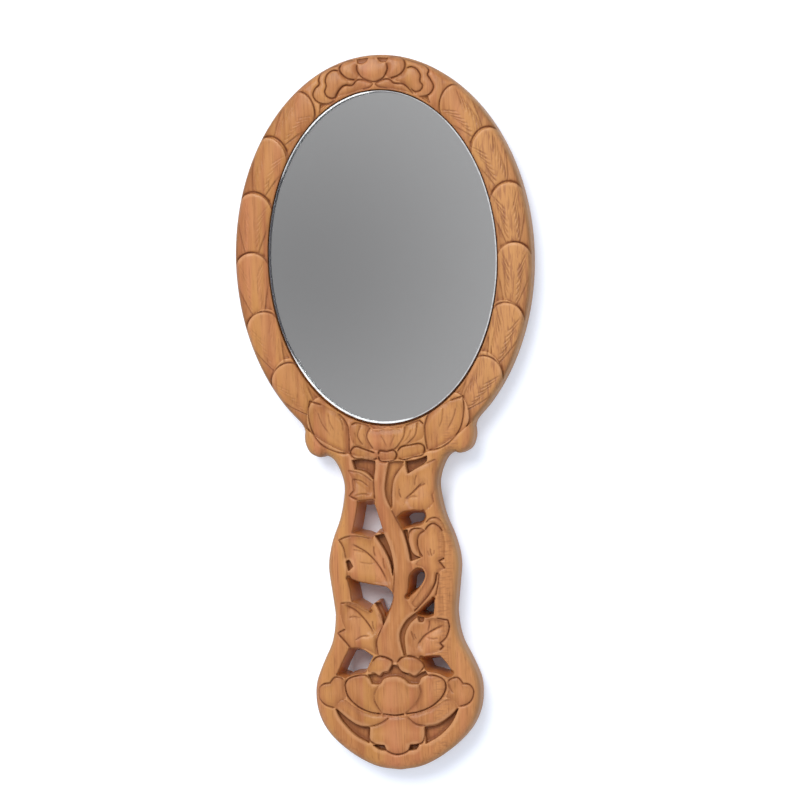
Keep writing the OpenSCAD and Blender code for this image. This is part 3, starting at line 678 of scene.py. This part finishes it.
def carve_front():
    """Works the whole pattern into the board's front, in the order that a carver would."""
    carving = Carving(board_low[:2] - 1, board_high[:2] + 1, RELIEF_STEP)
    carve_scales(carving)
    for drop, reach, outline in FORMS.values():
        carving.soften(curve(outline, closed=True), SOFTNESS * drop, reach)
    for path, depth, width, leaf in DISHES:
        carving.hollow(curve(path), depth, width, curve(FORMS[leaf][2], closed=True))
    for drop, outline in SUNK.values():
        carving.sink(curve(outline, closed=True), drop)
    for path, depth, width in VEINS:
        carving.line(curve(path), depth, width, width)
    steps = [
        (run(FORMS[name][2], first, count), *cut)
        for name, runs in STEPS.items()
        for first, count, *cut in runs
    ]
    for path, depth, left, right in steps + PETAL_STEPS:
        carving.line(curve(path), depth, left, right, fade=(0.05, 0.05))
    x, y = np.meshgrid(carving.x, carving.y, indexing="ij")
    carving.top -= carving.lines
    for height, cell, seed in TOOL_MARKS:
        carving.top += height * wander(x, y, cell, seed)
    carving.top = np.minimum(carving.top, BOARD_TOP)
    near_glass = np.hypot(x / PANE_HALF[0], (y - HEAD_Y) / PANE_HALF[1]) - 1
    lip = pane_high[2] + LIP - LIP_SLOPE * np.clip(near_glass - LIP_REACH, 0, 1)
    carving.top = np.maximum(carving.top, lip)
    return carving


# ---------------------------------------------------------------- the wooden body

VOXEL = 0.2  # mm
BAND = 1.5  # how far from the surface the field is kept, mm
FRONT_ROUND, BACK_ROUND, HOLE_ROUND = 3.6, 2.5, 0.5  # radii of the board's and the holes' edges, mm
EDGE_SHADE_REACH = 2  # how far in from the outline the painted shade on the board's edge reaches, mm
HOLE_REACH = 6  # how far round a hole its distance is worked out, mm
LOW_CUT, HIGH_CUT = 4, 8  # heights at which the frame's outline and holes are read, mm
POCKET_SLACK = 0.5  # how much wider the hand-cut pocket is towards the handle, mm
POCKET_CUT = 11  # height at which the frame's pocket is read, mm
HOLLOW_REACH = 6  # how far round a spot its height is compared with, in relief steps
FRONT_DEPTH = 0.8  # how far under the carved front its paint fades out, mm
BRINK = 0.7  # how far under a hole's edge the painted shadow line round it is, mm
BRINK_SHADE = 1.2  # how dark that line is, next to a cut's 1
WALL_START, WALL_REACH = 0.2, 1.4  # how far under the front a wall's colour starts, and its fade, mm
ADAPTIVITY = 0.02  # how far the mesher may thin out flat stretches
HOLE_MARGIN, POCKET_MARGIN = 1, 0.5  # how far round a hole and the pocket their walls are painted, mm
FLAT_TURN = math.radians(0.5)  # a loop that turns less than this at a point runs straight on
SHARP_TURN = math.radians(35)  # one that turns more than this has a sharp corner


def sample(values, grid, x, y):
    """Reads values kept over a level grid, also between the grid's points."""
    i = np.clip((x - grid.x[0]) / grid.step, 0, len(grid.x) - 1.001)
    j = np.clip((y - grid.y[0]) / grid.step, 0, len(grid.y) - 1.001)
    i0, j0 = i.astype(int), j.astype(int)
    return between(values, i0, j0, i - i0, j - j0)


def without_flats(loop):
    """Drops the points of a loop at which it doesn't turn, and marks its sharp corners."""
    before = loop - np.roll(loop, 1, axis=0)
    after = np.roll(loop, -1, axis=0) - loop
    turn = np.arctan2(
        before[:, 0] * after[:, 1] - before[:, 1] * after[:, 0], (before * after).sum(1)
    )
    kept, sharp = np.abs(turn) > FLAT_TURN, np.abs(turn) > SHARP_TURN
    return [tuple(p) + ((1,) if s else ()) for p, s in zip(loop[kept], sharp[kept])]


def round_corner(a, b, radius):
    """The larger of two fields, with their meeting edge rounded."""
    p, q = a + radius, b + radius
    return np.minimum(np.maximum(p, q), 0) + np.hypot(np.maximum(p, 0), np.maximum(q, 0)) - radius


class Plan:
    """How far each point of a grid is outside the board, and inside its holes and pocket, in mm."""

    def __init__(self, x, y):
        self.x, self.y, self.step = x, y, VOXEL
        gx, gy = np.meshgrid(x, y, indexing="ij")
        low, high = sections(BOARD, LOW_CUT), sections(BOARD, HIGH_CUT)
        self.outside = -depth_inside(curve(without_flats(low[0]), closed=True, steps=3), gx, gy)
        self.holes = np.full((2,) + gx.shape, -FAR)
        for loop in high[1:]:
            twin = min(low[1:], key=lambda l: np.hypot(*(l.mean(0) - loop.mean(0))))
            area, wx, wy = window_of(self, loop, HOLE_REACH)
            for level, ring in zip(self.holes, (twin, loop)):
                depth = depth_inside(curve(without_flats(ring), closed=True, steps=3), wx, wy)
                level[area] = np.maximum(level[area], depth)
        gap = sections(BOARD, POCKET_CUT)[1].max(0)[0] - PANE_HALF[0]
        self.pocket = ellipse_depth(gx, gy, PANE_HALF + gap)
        self.pocket += POCKET_SLACK * smooth_step((HEAD_Y - gy) / PANE_HALF[1])

    def hole(self, height, holes=None):
        """Distance into the holes at a height: they widen evenly from the back to the front."""
        low, high = self.holes if holes is None else holes
        return low + (high - low) * (height - LOW_CUT) / (HIGH_CUT - LOW_CUT)


def body_field(plan, top, z):
    """Signed distance to the wood in mm, negative inside, at each height z over the plan's grid."""
    field = np.empty(top.shape + (len(z),), np.float32)
    for k, height in enumerate(z):
        board = round_corner(plan.outside, height - BOARD_TOP, FRONT_ROUND)
        board = np.maximum(board, round_corner(plan.outside, -height, BACK_ROUND))
        board = np.maximum(board, height - top)
        hole = plan.hole(height)
        rim = round_corner(np.maximum(height - top, -height), hole, HOLE_ROUND)
        board = np.where(hole > -BAND, np.maximum(board, rim), board)
        if height > POCKET_FLOOR - BAND:
            board = np.maximum(board, np.minimum(plan.pocket, height - POCKET_FLOOR))
        field[:, :, k] = np.clip(board, -BAND, BAND)
    return field


def window_of(grid, path, margin):
    """The part of a grid round a path: its slices, and its points' x and y."""
    low, high = path.min(0) - margin, path.max(0) + margin
    i0, i1 = np.searchsorted(grid.x, (low[0], high[0]))
    j0, j1 = np.searchsorted(grid.y, (low[1], high[1]))
    x, y = np.meshgrid(grid.x[i0:i1], grid.y[j0:j1], indexing="ij")
    return (slice(i0, i1), slice(j0, j1)), x, y


def ellipse_depth(x, y, half):
    """Distance in from an ellipse round the head's centre: positive inside."""
    px, py = x / half[0], (y - HEAD_Y) / half[1]
    reach = np.maximum(np.hypot(px, py), 1e-6)
    slope = np.hypot(px / half[0], py / half[1]) / reach
    return (1 - reach) / np.maximum(slope, 1e-6)


def new_mesh(name, points, faces):
    """A smooth-shaded object from points in mm and arrays of faces of any one size each."""
    mesh = bpy.data.meshes.new(name)
    corners = np.concatenate([f.ravel() for f in faces]).astype(np.int32)
    sizes = np.concatenate([np.full(len(f), f.shape[1]) for f in faces])
    mesh.vertices.add(len(points))
    mesh.vertices.foreach_set("co", (points * MM).astype(np.float32).ravel())
    mesh.loops.add(len(corners))
    mesh.loops.foreach_set("vertex_index", corners)
    mesh.polygons.add(len(sizes))
    starts = np.concatenate([[0], np.cumsum(sizes)[:-1]])
    mesh.polygons.foreach_set("loop_start", starts.astype(np.int32))
    mesh.polygons.foreach_set("use_smooth", np.ones(len(sizes), bool))
    mesh.update(calc_edges=True)
    mesh.validate()
    piece = bpy.data.objects.new(name, mesh)
    bpy.context.scene.collection.objects.link(piece)
    return piece


def blur(grid, radius):
    """A soft average over a square about 2 * radius cells wide."""
    for _ in range(2):
        for axis in (0, 1):
            edges = [(radius + 1, radius) if a == axis else (0, 0) for a in (0, 1)]
            padded = np.pad(grid, edges, mode="edge")
            total = np.cumsum(padded, axis=axis)
            width = 2 * radius + 1
            ahead = np.take(total, range(width, total.shape[axis]), axis=axis)
            behind = np.take(total, range(0, total.shape[axis] - width), axis=axis)
            grid = (ahead - behind) / width
    return grid


def make_body():
    """The whole carved board as one piece, meshed from its field."""
    carving = carve_front()
    low, high = board_low - 3 * VOXEL, board_high + 3 * VOXEL
    x, y, z = (np.arange(a, b, VOXEL) for a, b in zip(low, high))
    grid = openvdb.FloatGrid(background=BAND)
    plan = Plan(x, y)
    gx, gy = np.meshgrid(x, y, indexing="ij")
    grid.copyFromArray(body_field(plan, sample(carving.top, carving, gx, gy), z))
    points, triangles, quads = grid.convertToPolygons(isovalue=0.0, adaptivity=ADAPTIVITY)
    points = points * VOXEL + low
    body = new_mesh("wooden_body", points, [f for f in (triangles, quads) if len(f)])
    # How far each spot lies below its surroundings: painted shade where lower, painted highlight where
    # higher
    hollow = blur(carving.top, HOLLOW_REACH) - carving.top
    px, py, pz = points.T
    carved = sample(carving.top, carving, px, py)
    below = carved - pz  # how far under the carved front
    on_front = smooth_step(1 - below / FRONT_DEPTH)
    paint(body, "hollow", sample(hollow, carving, px, py) * on_front)
    in_hole = plan.hole(pz, [sample(level, plan, px, py) for level in plan.holes]) > -HOLE_MARGIN
    # A painted shadow line just under each hole's edge, put in with the painted shade of the cuts
    brink = np.clip(1 - np.abs(below - BRINK) / BRINK, 0, 1)
    brink = np.where(in_hole, BRINK_SHADE * brink, 0)
    paint(body, "line_shade", np.maximum(sample(carving.line_shade, carving, px, py) * on_front, brink))
    # Painted highlight and shade over the domed forms
    paint(body, "form_shading", sample(carving.form_shading, carving, px, py))
    # Painted shade on the board's outer edge
    paint(body, "rim", smooth_step(1 + sample(plan.outside, plan, px, py) / EDGE_SHADE_REACH))
    # How deep the front is cut, for painted shade in the sunk ground
    paint(body, "sunk", (BOARD_TOP - carved) * on_front)
    in_pocket = (sample(plan.pocket, plan, px, py) > -POCKET_MARGIN) & (pz < BOARD_TOP)
    wall = smooth_step((below - WALL_START) / WALL_REACH)
    paint(body, "wall", np.where(in_hole | in_pocket, wall, 0))
    return body


def paint(piece, name, values):
    """A number at each vertex, for the material to read."""
    layer = piece.data.attributes.new(name, "FLOAT", "POINT")
    layer.data.foreach_set("value", np.asarray(values, np.float32))


# ---------------------------------------------------------------- the mirror


def disc(rings, middle, first=0):
    """The points, sides and caps of a closed disc, from rings of x, y and z. first is its first point."""
    sides = len(rings[0])
    i = np.arange(sides)
    j = (i + 1) % sides
    quads = []
    for row in range(len(rings) - 1):
        a = first + row * sides
        b = a + sides
        quads.append(np.column_stack([a + i, a + j, b + j, b + i]))
    centre = first + len(rings) * sides
    caps = [
        np.column_stack([np.full(sides, centre), first + j, first + i]),
        np.column_stack([np.full(sides, centre + 1), b + i, b + j]),
    ]
    middles = [[*middle, rings[0][0][2]], [*middle, rings[-1][0][2]]]
    return np.vstack([*rings, middles]), np.vstack(quads), np.vstack(caps)


OVAL_SIDES = 384
GROUND_EDGE = (0.12, 0.65)  # least and greatest width of the bevel ground round the glass, mm
GROUND_DROP = 0.12  # how far the bevel falls, mm
ARRIS = 0.3  # width of the bevel behind, mm
DAB_RADIUS = 7  # of the frame's dabs, mm
DAB_SPREAD, DAB_WOBBLE = 0.92, 0.05  # widest reach of an uneven dab, and its waves, as shares of that
DAB_FACE = 0.94  # width of its flat faces, as a share of its bulging rim
DAB_SIDES = 64
AIR = 0.02  # keeps the glass and the silver from sharing a face, mm
# Where the bevel is ground wider and painted with a highlight: angle round the head, reach to each side,
# share
GROUND_SPOTS = [
    (-110, 42, 1), (-62, 40, 0.45), (112, 26, 0.75), (140, 12, 0.5), (75, 40, 0.35), (5, 70, 0.5),
]


def make_glass():
    """The pane, with a ground bevel and sides, painted with where the bevel carries a painted highlight."""
    top, bottom = pane_high[2], pane_low[2] + AIR
    angle = np.linspace(0, 360, OVAL_SIDES, endpoint=False)
    # How much painted highlight the bevel carries round its edge; it is ground wider there too
    bevel_highlight = np.zeros(OVAL_SIDES)
    for middle, reach, share in GROUND_SPOTS:
        away = np.abs((angle - middle + 180) % 360 - 180)
        bevel_highlight = np.maximum(bevel_highlight, share * smooth_step(2.5 * (1 - away / reach)))
    ground = GROUND_EDGE[0] + (GROUND_EDGE[1] - GROUND_EDGE[0]) * bevel_highlight
    turn = np.linspace(0, 2 * math.pi, OVAL_SIDES, endpoint=False)
    rings = []
    for taken, height in ((ARRIS, bottom), (0, bottom + ARRIS), (0, top - GROUND_DROP), (ground, top)):
        x = (PANE_HALF[0] - taken) * np.cos(turn)
        y = HEAD_Y + (PANE_HALF[1] - taken) * np.sin(turn)
        rings.append(np.column_stack([x, y, np.full(OVAL_SIDES, height)]))
    points, quads, caps = disc(rings, (0, HEAD_Y))
    piece = new_mesh("bevelled_glass", points, [quads, caps])
    piece.data.polygons.foreach_set("use_smooth", np.zeros(len(piece.data.polygons), bool))
    paint(piece, "bevel_highlight", np.concatenate([np.tile(bevel_highlight, len(rings)), [0, 0]]))
    return piece


def dab_places(width):
    """The middle of each of the frame's dabs of adhesive, none wider than this."""
    groups = []
    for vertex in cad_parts["adhesive_dabs"].data.vertices:
        spot = np.array(vertex.co[:2]) / MM
        for group in groups:
            if np.hypot(*(spot - group[0])) <= width:
                group.append(spot)
                break
        else:
            groups.append([spot])
    return [(np.min(g, axis=0) + np.max(g, axis=0)) / 2 for g in groups]


def make_adhesive():
    """Dabs of adhesive pressed flat, each with its own uneven outline and bulging rim."""
    low, high = box_mm("adhesive_dabs")
    draw = np.random.default_rng(11)
    turn = np.linspace(0, 2 * math.pi, DAB_SIDES, endpoint=False)
    points, quads, caps = [], [], []
    for x, y in dab_places(2.2 * DAB_RADIUS):
        wobble = sum(
            draw.uniform(0, DAB_WOBBLE) * np.cos(k * turn + draw.uniform(0, 6)) for k in (2, 3, 5, 7)
        )
        reach = DAB_RADIUS * (DAB_SPREAD + wobble - wobble.max())
        rings = []
        for share, height in ((DAB_FACE, low[2]), (1, (low[2] + high[2]) / 2), (DAB_FACE, high[2])):
            rim = reach * share
            heights = np.full(DAB_SIDES, height)
            rings.append(np.column_stack([x + rim * np.cos(turn), y + rim * np.sin(turn), heights]))
        parts = disc(rings, (x, y), sum(map(len, points)))
        for group, part in zip((points, quads, caps), parts):
            group.append(part)
    return new_mesh("adhesive_pads", np.vstack(points), [np.vstack(quads), np.vstack(caps)])


# ---------------------------------------------------------------- materials


class Nodes:
    """Short calls for adding nodes to a tree."""

    def __init__(self, owner):
        owner.use_nodes = True
        self.tree = owner.node_tree

    def add(self, kind, inputs=(), **settings):
        node = self.tree.nodes.new("ShaderNode" + kind)
        for key, value in settings.items():
            setattr(node, key, value)
        for key, value in dict(inputs).items():
            self.put(value, node.inputs[key])
        return node

    def put(self, value, socket):
        if isinstance(value, bpy.types.NodeSocket):
            self.tree.links.new(value, socket)
        else:
            socket.default_value = value

    def spread(self, value, low, high, to_low=0.0, to_high=1.0, smooth=False):
        ends = {"From Min": low, "From Max": high, "To Min": to_low, "To Max": to_high}
        curved = "SMOOTHSTEP" if smooth else "LINEAR"
        node = self.add("MapRange", {"Value": value, **ends}, interpolation_type=curved)
        return node.outputs["Result"]

    def mix(self, share, a, b):
        return self.add("Mix", {0: share, 6: a, 7: b}, data_type="RGBA").outputs[2]


class Shader(Nodes):
    """Short calls for building one material."""

    def __init__(self, name, **finish):
        self.material = bpy.data.materials.new(name)
        super().__init__(self.material)
        self.surface = self.tree.nodes["Principled BSDF"]
        for socket, value in finish.items():
            self.surface.inputs[socket.replace("_", " ")].default_value = value

    def spot(self):
        return self.add("TexCoord").outputs["Object"]

    def noise(self, across, along=None, detail=2.0, distortion=0.0):
        """Noise with this many waves to a metre across the grain and along it."""
        scale = (across, along or across, across)
        spot = self.add("Mapping", {"Vector": self.spot(), "Scale": scale}).outputs["Vector"]
        waves = {"Vector": spot, "Scale": 1, "Detail": detail, "Distortion": distortion}
        return self.add("TexNoise", waves).outputs["Fac"]

    def maths(self, operation, a, b=0.0):
        return self.add("Math", {0: a, 1: b}, operation=operation).outputs[0]

    def times(self, a, b):
        return self.maths("MULTIPLY", a, b)

    def plus(self, a, b):
        return self.maths("ADD", a, b)

    def painted(self, name):
        """A number painted on the mesh's vertices."""
        return self.add("Attribute", attribute_name=name).outputs["Fac"]

    def feed(self, socket, value):
        self.tree.links.new(value, self.surface.inputs[socket])

    def bump(self, height, distance, strength=1.0):
        node = self.add("Bump", {"Height": height, "Distance": distance, "Strength": strength})
        self.tree.links.new(node.outputs["Normal"], self.surface.inputs["Normal"])


def wood():
    """Oiled, honey-coloured wood whose grain runs along Y, with golden, flecked sapwood down one side."""
    s = Shader("carved_wood", Roughness=0.5, Specular_IOR_Level=0.1, Coat_Roughness=0.25)
    place = s.add("SeparateXYZ", {0: s.spot()}).outputs
    fibres = s.noise(1500, 35, detail=3)
    pores = s.spread(s.noise(2600, 130, detail=1), 0.6, 0.72)
    tone = s.plus(s.times(s.noise(260, 7, detail=4), 0.75), s.times(fibres, 0.5))
    tone = s.plus(tone, s.times(s.noise(40, 16, detail=3), 0.3))
    pink = s.spread(s.noise(150, 10, detail=3), 0.5, 0.66, 0, 0.5)
    golden = s.spread(s.noise(190, 9, detail=3), 0.5, 0.62, 0, 0.55)
    # Sapwood to the right, mostly in the head, with dark flecks along the grain
    edge = s.plus(place["X"], s.times(place["Y"], -0.05))
    edge = s.plus(edge, s.times(s.noise(25, 6, detail=3), 0.008))
    head = s.spread(place["Y"], -0.012, 0.004)
    sap = s.times(s.spread(edge, 0.022, 0.036), s.spread(head, 0, 1, 0.25, 1))
    flecks = s.spread(s.noise(1300, 150, detail=5, distortion=0.7), 0.5, 0.62)
    flecks = s.times(flecks, s.times(s.times(sap, head), 0.65))
    # Fine ripples across the grain in a narrow band down the handle
    band = s.times(s.spread(edge, 0.0225, 0.024), s.spread(edge, 0.029, 0.0275))
    ripples = s.spread(s.noise(350, 1500), 0.48, 0.62, 0, 0.5)
    ripples = s.times(ripples, s.times(band, s.spread(head, 1, 0)))
    names = ("form_shading", "hollow", "sunk", "line_shade", "wall", "rim")
    form_shading, hollow, sunk, line_shade, wall, rim = (s.painted(name) for name in names)
    uneven = s.spread(s.noise(260, detail=3), 0.35, 0.65, 0.45, 1)
    # Each tint goes over the ones before it: how much of it there is, and its colour. Painted
    # highlights pale the forms' middles and high edges, and painted shade darkens hollows and cuts.
    tints = [
        (pink, (0.47, 0.165, 0.08)),
        (golden, (0.47, 0.22, 0.062)),
        (s.times(pores, 0.35), (0.16, 0.05, 0.014)),
        (s.times(sap, 0.45), (0.6, 0.31, 0.115)),
        (flecks, (0.24, 0.085, 0.04)),
        (ripples, (0.24, 0.095, 0.04)),
        # Painted highlight on the domed forms' middles, and painted shade at their edges
        (s.spread(form_shading, 0.55, 1, 0, 0.2), (0.6, 0.29, 0.13)),
        (s.spread(form_shading, 0.5, 0, 0, 0.35), (0.22, 0.068, 0.022)),
        # Painted shade in hollows, and a painted highlight on ridges
        (s.spread(hollow, 0.03, 0.4, 0, 0.65), (0.18, 0.052, 0.016)),
        (s.spread(hollow, -0.05, -0.3, 0, 0.38), (0.6, 0.31, 0.15)),
        # Painted shade, darker the deeper the ground is sunk
        (s.spread(sunk, 1.4, 3.2, 0, 0.35), (0.21, 0.065, 0.021)),
        # Painted shade in the cuts and along the holes' edges
        (s.times(s.spread(line_shade, 0, 1, 0, 0.8), uneven), (0.13, 0.037, 0.015)),
        (s.spread(wall, 0, 1, 0, 0.7), (0.58, 0.215, 0.055)),
        # Painted shade on the board's outer edge
        (s.spread(rim, 0.1, 0.9, 0, 0.4), (0.24, 0.16, 0.08)),
    ]
    colour = s.mix(s.spread(tone, 0.54, 1.03), (0.26, 0.084, 0.024, 1), (0.5, 0.216, 0.078, 1))
    for share, tint in tints:
        colour = s.mix(share, colour, (*tint, 1))
    s.feed("Base Color", colour)
    s.feed("Coat Weight", s.spread(s.maths("SUBTRACT", rim, wall), -0.5, 0.8, 0.4, 0))
    s.feed("Roughness", s.spread(s.plus(fibres, line_shade), 0.2, 1.1, 0.42, 0.65))
    s.bump(s.maths("SUBTRACT", s.times(fibres, 0.7), s.times(pores, 0.6)), 0.00012, 0.6)
    return s.material


def glass():
    s = Shader("clear_glass", Base_Color=(0.99, 0.995, 0.99, 1), Transmission_Weight=1.0, IOR=1.52)
    s.feed("Roughness", s.spread(s.noise(60, 22, detail=4), 0.5, 0.8, 0, 0.02))
    return s.material


def ground_glass():
    """Frosted glass: white as a painted highlight where the bevel is marked for it, and grey elsewhere."""
    s = Shader("ground_glass", Roughness=0.35, Coat_Weight=0.4)
    # Painted highlight on the bevel: white where marked, broken into sparkles, and grey elsewhere
    sparkle = s.spread(s.noise(700), 0.35, 0.5, 0.6, 1)
    tone = s.mix(s.times(s.painted("bevel_highlight"), sparkle), (0.2, 0.195, 0.215, 1), (0.93, 0.95, 0.96, 1))
    s.feed("Base Color", tone)
    s.bump(s.noise(2500), 0.00005)
    return s.material


def silver():
    s = Shader("silvering", Base_Color=(0.93, 0.94, 0.95, 1), Metallic=1.0, Roughness=0.0)
    tarnish = s.spread(s.noise(20, detail=5), 0.62, 0.8, 0, 0.15)
    s.feed("Base Color", s.mix(tarnish, (0.93, 0.94, 0.95, 1), (0.7, 0.68, 0.62, 1)))
    return s.material


def mottled(name, waves, detail, tones, height, **finish):
    """A material with a faint mottle in its colour and on its surface."""
    s = Shader(name, **finish)
    mottle = s.noise(waves, detail=detail)
    s.feed("Base Color", s.mix(mottle, *tones))
    s.bump(mottle, height)
    return s.material


def backing_paint():
    tones = (0.09, 0.095, 0.1, 1), (0.16, 0.165, 0.17, 1)
    return mottled("backing_paint", 300, 4, tones, 0.00005, Roughness=0.55)


def adhesive():
    tones = (0.72, 0.7, 0.62, 1), (0.83, 0.81, 0.74, 1)
    return mottled("adhesive", 400, 3, tones, 0.0002, Roughness=0.4, Subsurface_Weight=0.2)


# ---------------------------------------------------------------- assembly

body = make_body()
body.data.materials.append(wood())
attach(body, "root")
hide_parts(BOARD)

pane = make_glass()
pane.data.materials.append(glass())
pane.data.materials.append(ground_glass())
bevel = np.zeros(len(pane.data.polygons), np.int32)
bevel[: 3 * OVAL_SIDES] = 1
pane.data.polygons.foreach_set("material_index", bevel)
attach(pane, "root")
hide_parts(PANE)


def coat(node, finish):
    """Gives a CAD node that stays its finished material."""
    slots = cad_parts[node].material_slots
    for slot in slots:
        slot.material = finish
    if not slots:
        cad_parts[node].data.materials.append(finish)


coat("silver_layer", silver())
coat("backing_coat", backing_paint())

pads = make_adhesive()
pads.data.materials.append(adhesive())
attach(pads, "root")
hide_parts("adhesive_dabs")

# ---------------------------------------------------------------- stage, light and camera

TILT = math.radians(8.5)  # the camera leans this far from straight above, towards +X
ROLL = math.radians(2)  # the handle leans this far in the picture
DISTANCE = 1.3  # from the camera to what it looks at
VIEW_WIDTH = 0.279  # what the picture spans at the board
AIM = Vector((0.0045, 0.0041, 0.0128))
FLOOR_HALF = 4
FLOOR_GLOW = 0.26
SHADE_Y = -62  # middle of the unlit patch under the handle, mm
SHADE_HALF = (20, 35)  # its half width and half length, mm
SHADE_EDGE = (0.85, 1.05)  # where its soft edge begins and ends, as shares of those
TENT_BRIGHT_SIDE = (-0.6, 0.8, 0)
TENT_DIM, TENT_BRIGHT = 0.72, 1.12
STAND_WAY = (-0.172, 0.035, 0.984)  # where the camera stand's dim middle lies from the mirror
STAND_REACH = (0.13, 0.34)  # how far from that middle the stand ends and the tent begins
STAND_CORE = 0.09  # how far from that middle the stand is darkest
STAND_GLOW = (0.26, 0.45)
TENT_HUE, STAND_HUE = (0.91, 0.955, 1, 1), (0.985, 0.97, 0.985, 1)


def make_camera():
    lens = bpy.data.cameras.new("camera")
    lens.sensor_width = 36
    lens.lens = lens.sensor_width * DISTANCE / VIEW_WIDTH
    camera = bpy.data.objects.new("camera", lens)
    bpy.context.scene.collection.objects.link(camera)
    back = Vector((math.sin(TILT), 0, math.cos(TILT)))
    level = Vector((0, 1, 0))
    side = level.cross(back)
    up = level * math.cos(ROLL) + side * math.sin(ROLL)
    right = up.cross(back)
    turn = Matrix((right, up, back)).transposed().to_4x4()
    camera.matrix_world = Matrix.Translation(AIM + back * DISTANCE) @ turn
    bpy.context.scene.camera = camera


def make_floor():
    """A white sweep with a painted glow that keeps shadows on it pale, but not under the handle."""
    points = FLOOR_HALF / MM * np.array([[-1, -1, 0], [1, -1, 0], [1, 1, 0], [-1, 1, 0]])
    floor = new_mesh("studio_floor", points, [np.array([[0, 1, 2, 3]])])
    s = Shader("white_sweep", Base_Color=(0.8, 0.84, 0.94, 1), Roughness=0.9)
    # Painted light: the sweep glows bluish, except in a patch under the handle left as painted shade
    s.surface.inputs["Emission Color"].default_value = (0.86, 0.92, 1, 1)
    place = s.add("SeparateXYZ", {0: s.spot()}).outputs
    across = s.maths("ABSOLUTE", s.maths("DIVIDE", place["X"], SHADE_HALF[0] * MM))
    along = s.maths("SUBTRACT", place["Y"], SHADE_Y * MM)
    along = s.maths("ABSOLUTE", s.maths("DIVIDE", along, SHADE_HALF[1] * MM))
    glow = s.spread(s.maths("MAXIMUM", across, along), *SHADE_EDGE, 0, FLOOR_GLOW)
    s.feed("Emission Strength", glow)
    floor.data.materials.append(s.material)


def make_light(name, place, aim, size, power, colour):
    lamp = bpy.data.lights.new(name, "AREA")
    lamp.shape = "DISK"
    lamp.size = size
    lamp.energy = power
    lamp.color = colour
    holder = bpy.data.objects.new(name, lamp)
    bpy.context.scene.collection.objects.link(holder)
    holder.location = place
    holder.rotation_euler = (Vector(place) - Vector(aim)).to_track_quat("Z", "Y").to_euler()


def make_world():
    """A bright tent, brighter towards the top left. The mirror sees the dim camera stand overhead."""
    world = bpy.data.worlds.new("tent")
    bpy.context.scene.world = world
    n = Nodes(world)
    way = n.add("TexCoord").outputs["Generated"]
    toward_light = n.add("VectorMath", {0: way, 1: TENT_BRIGHT_SIDE}, operation="DOT_PRODUCT")
    walls = n.spread(toward_light.outputs["Value"], -1, 1, TENT_DIM, TENT_BRIGHT)
    from_stand = n.add("VectorMath", {0: way, 1: STAND_WAY}, operation="DISTANCE").outputs["Value"]
    overhead = n.spread(from_stand, 0, STAND_CORE, *STAND_GLOW, smooth=True)
    share = n.spread(from_stand, STAND_REACH[1], STAND_REACH[0], smooth=True)
    level = n.add("Mix", {0: share, 2: walls, 3: overhead}).outputs[0]
    background = n.tree.nodes["Background"]
    n.put(n.mix(share, TENT_HUE, STAND_HUE), background.inputs["Color"])
    n.put(level, background.inputs["Strength"])


make_camera()
make_floor()
make_light("key_light", (-0.4, 0.95, 1.8), (0, 0, 0), 1.1, 27, (1, 0.98, 0.94))
make_world()
bpy.context.scene.view_settings.view_transform = "Standard"
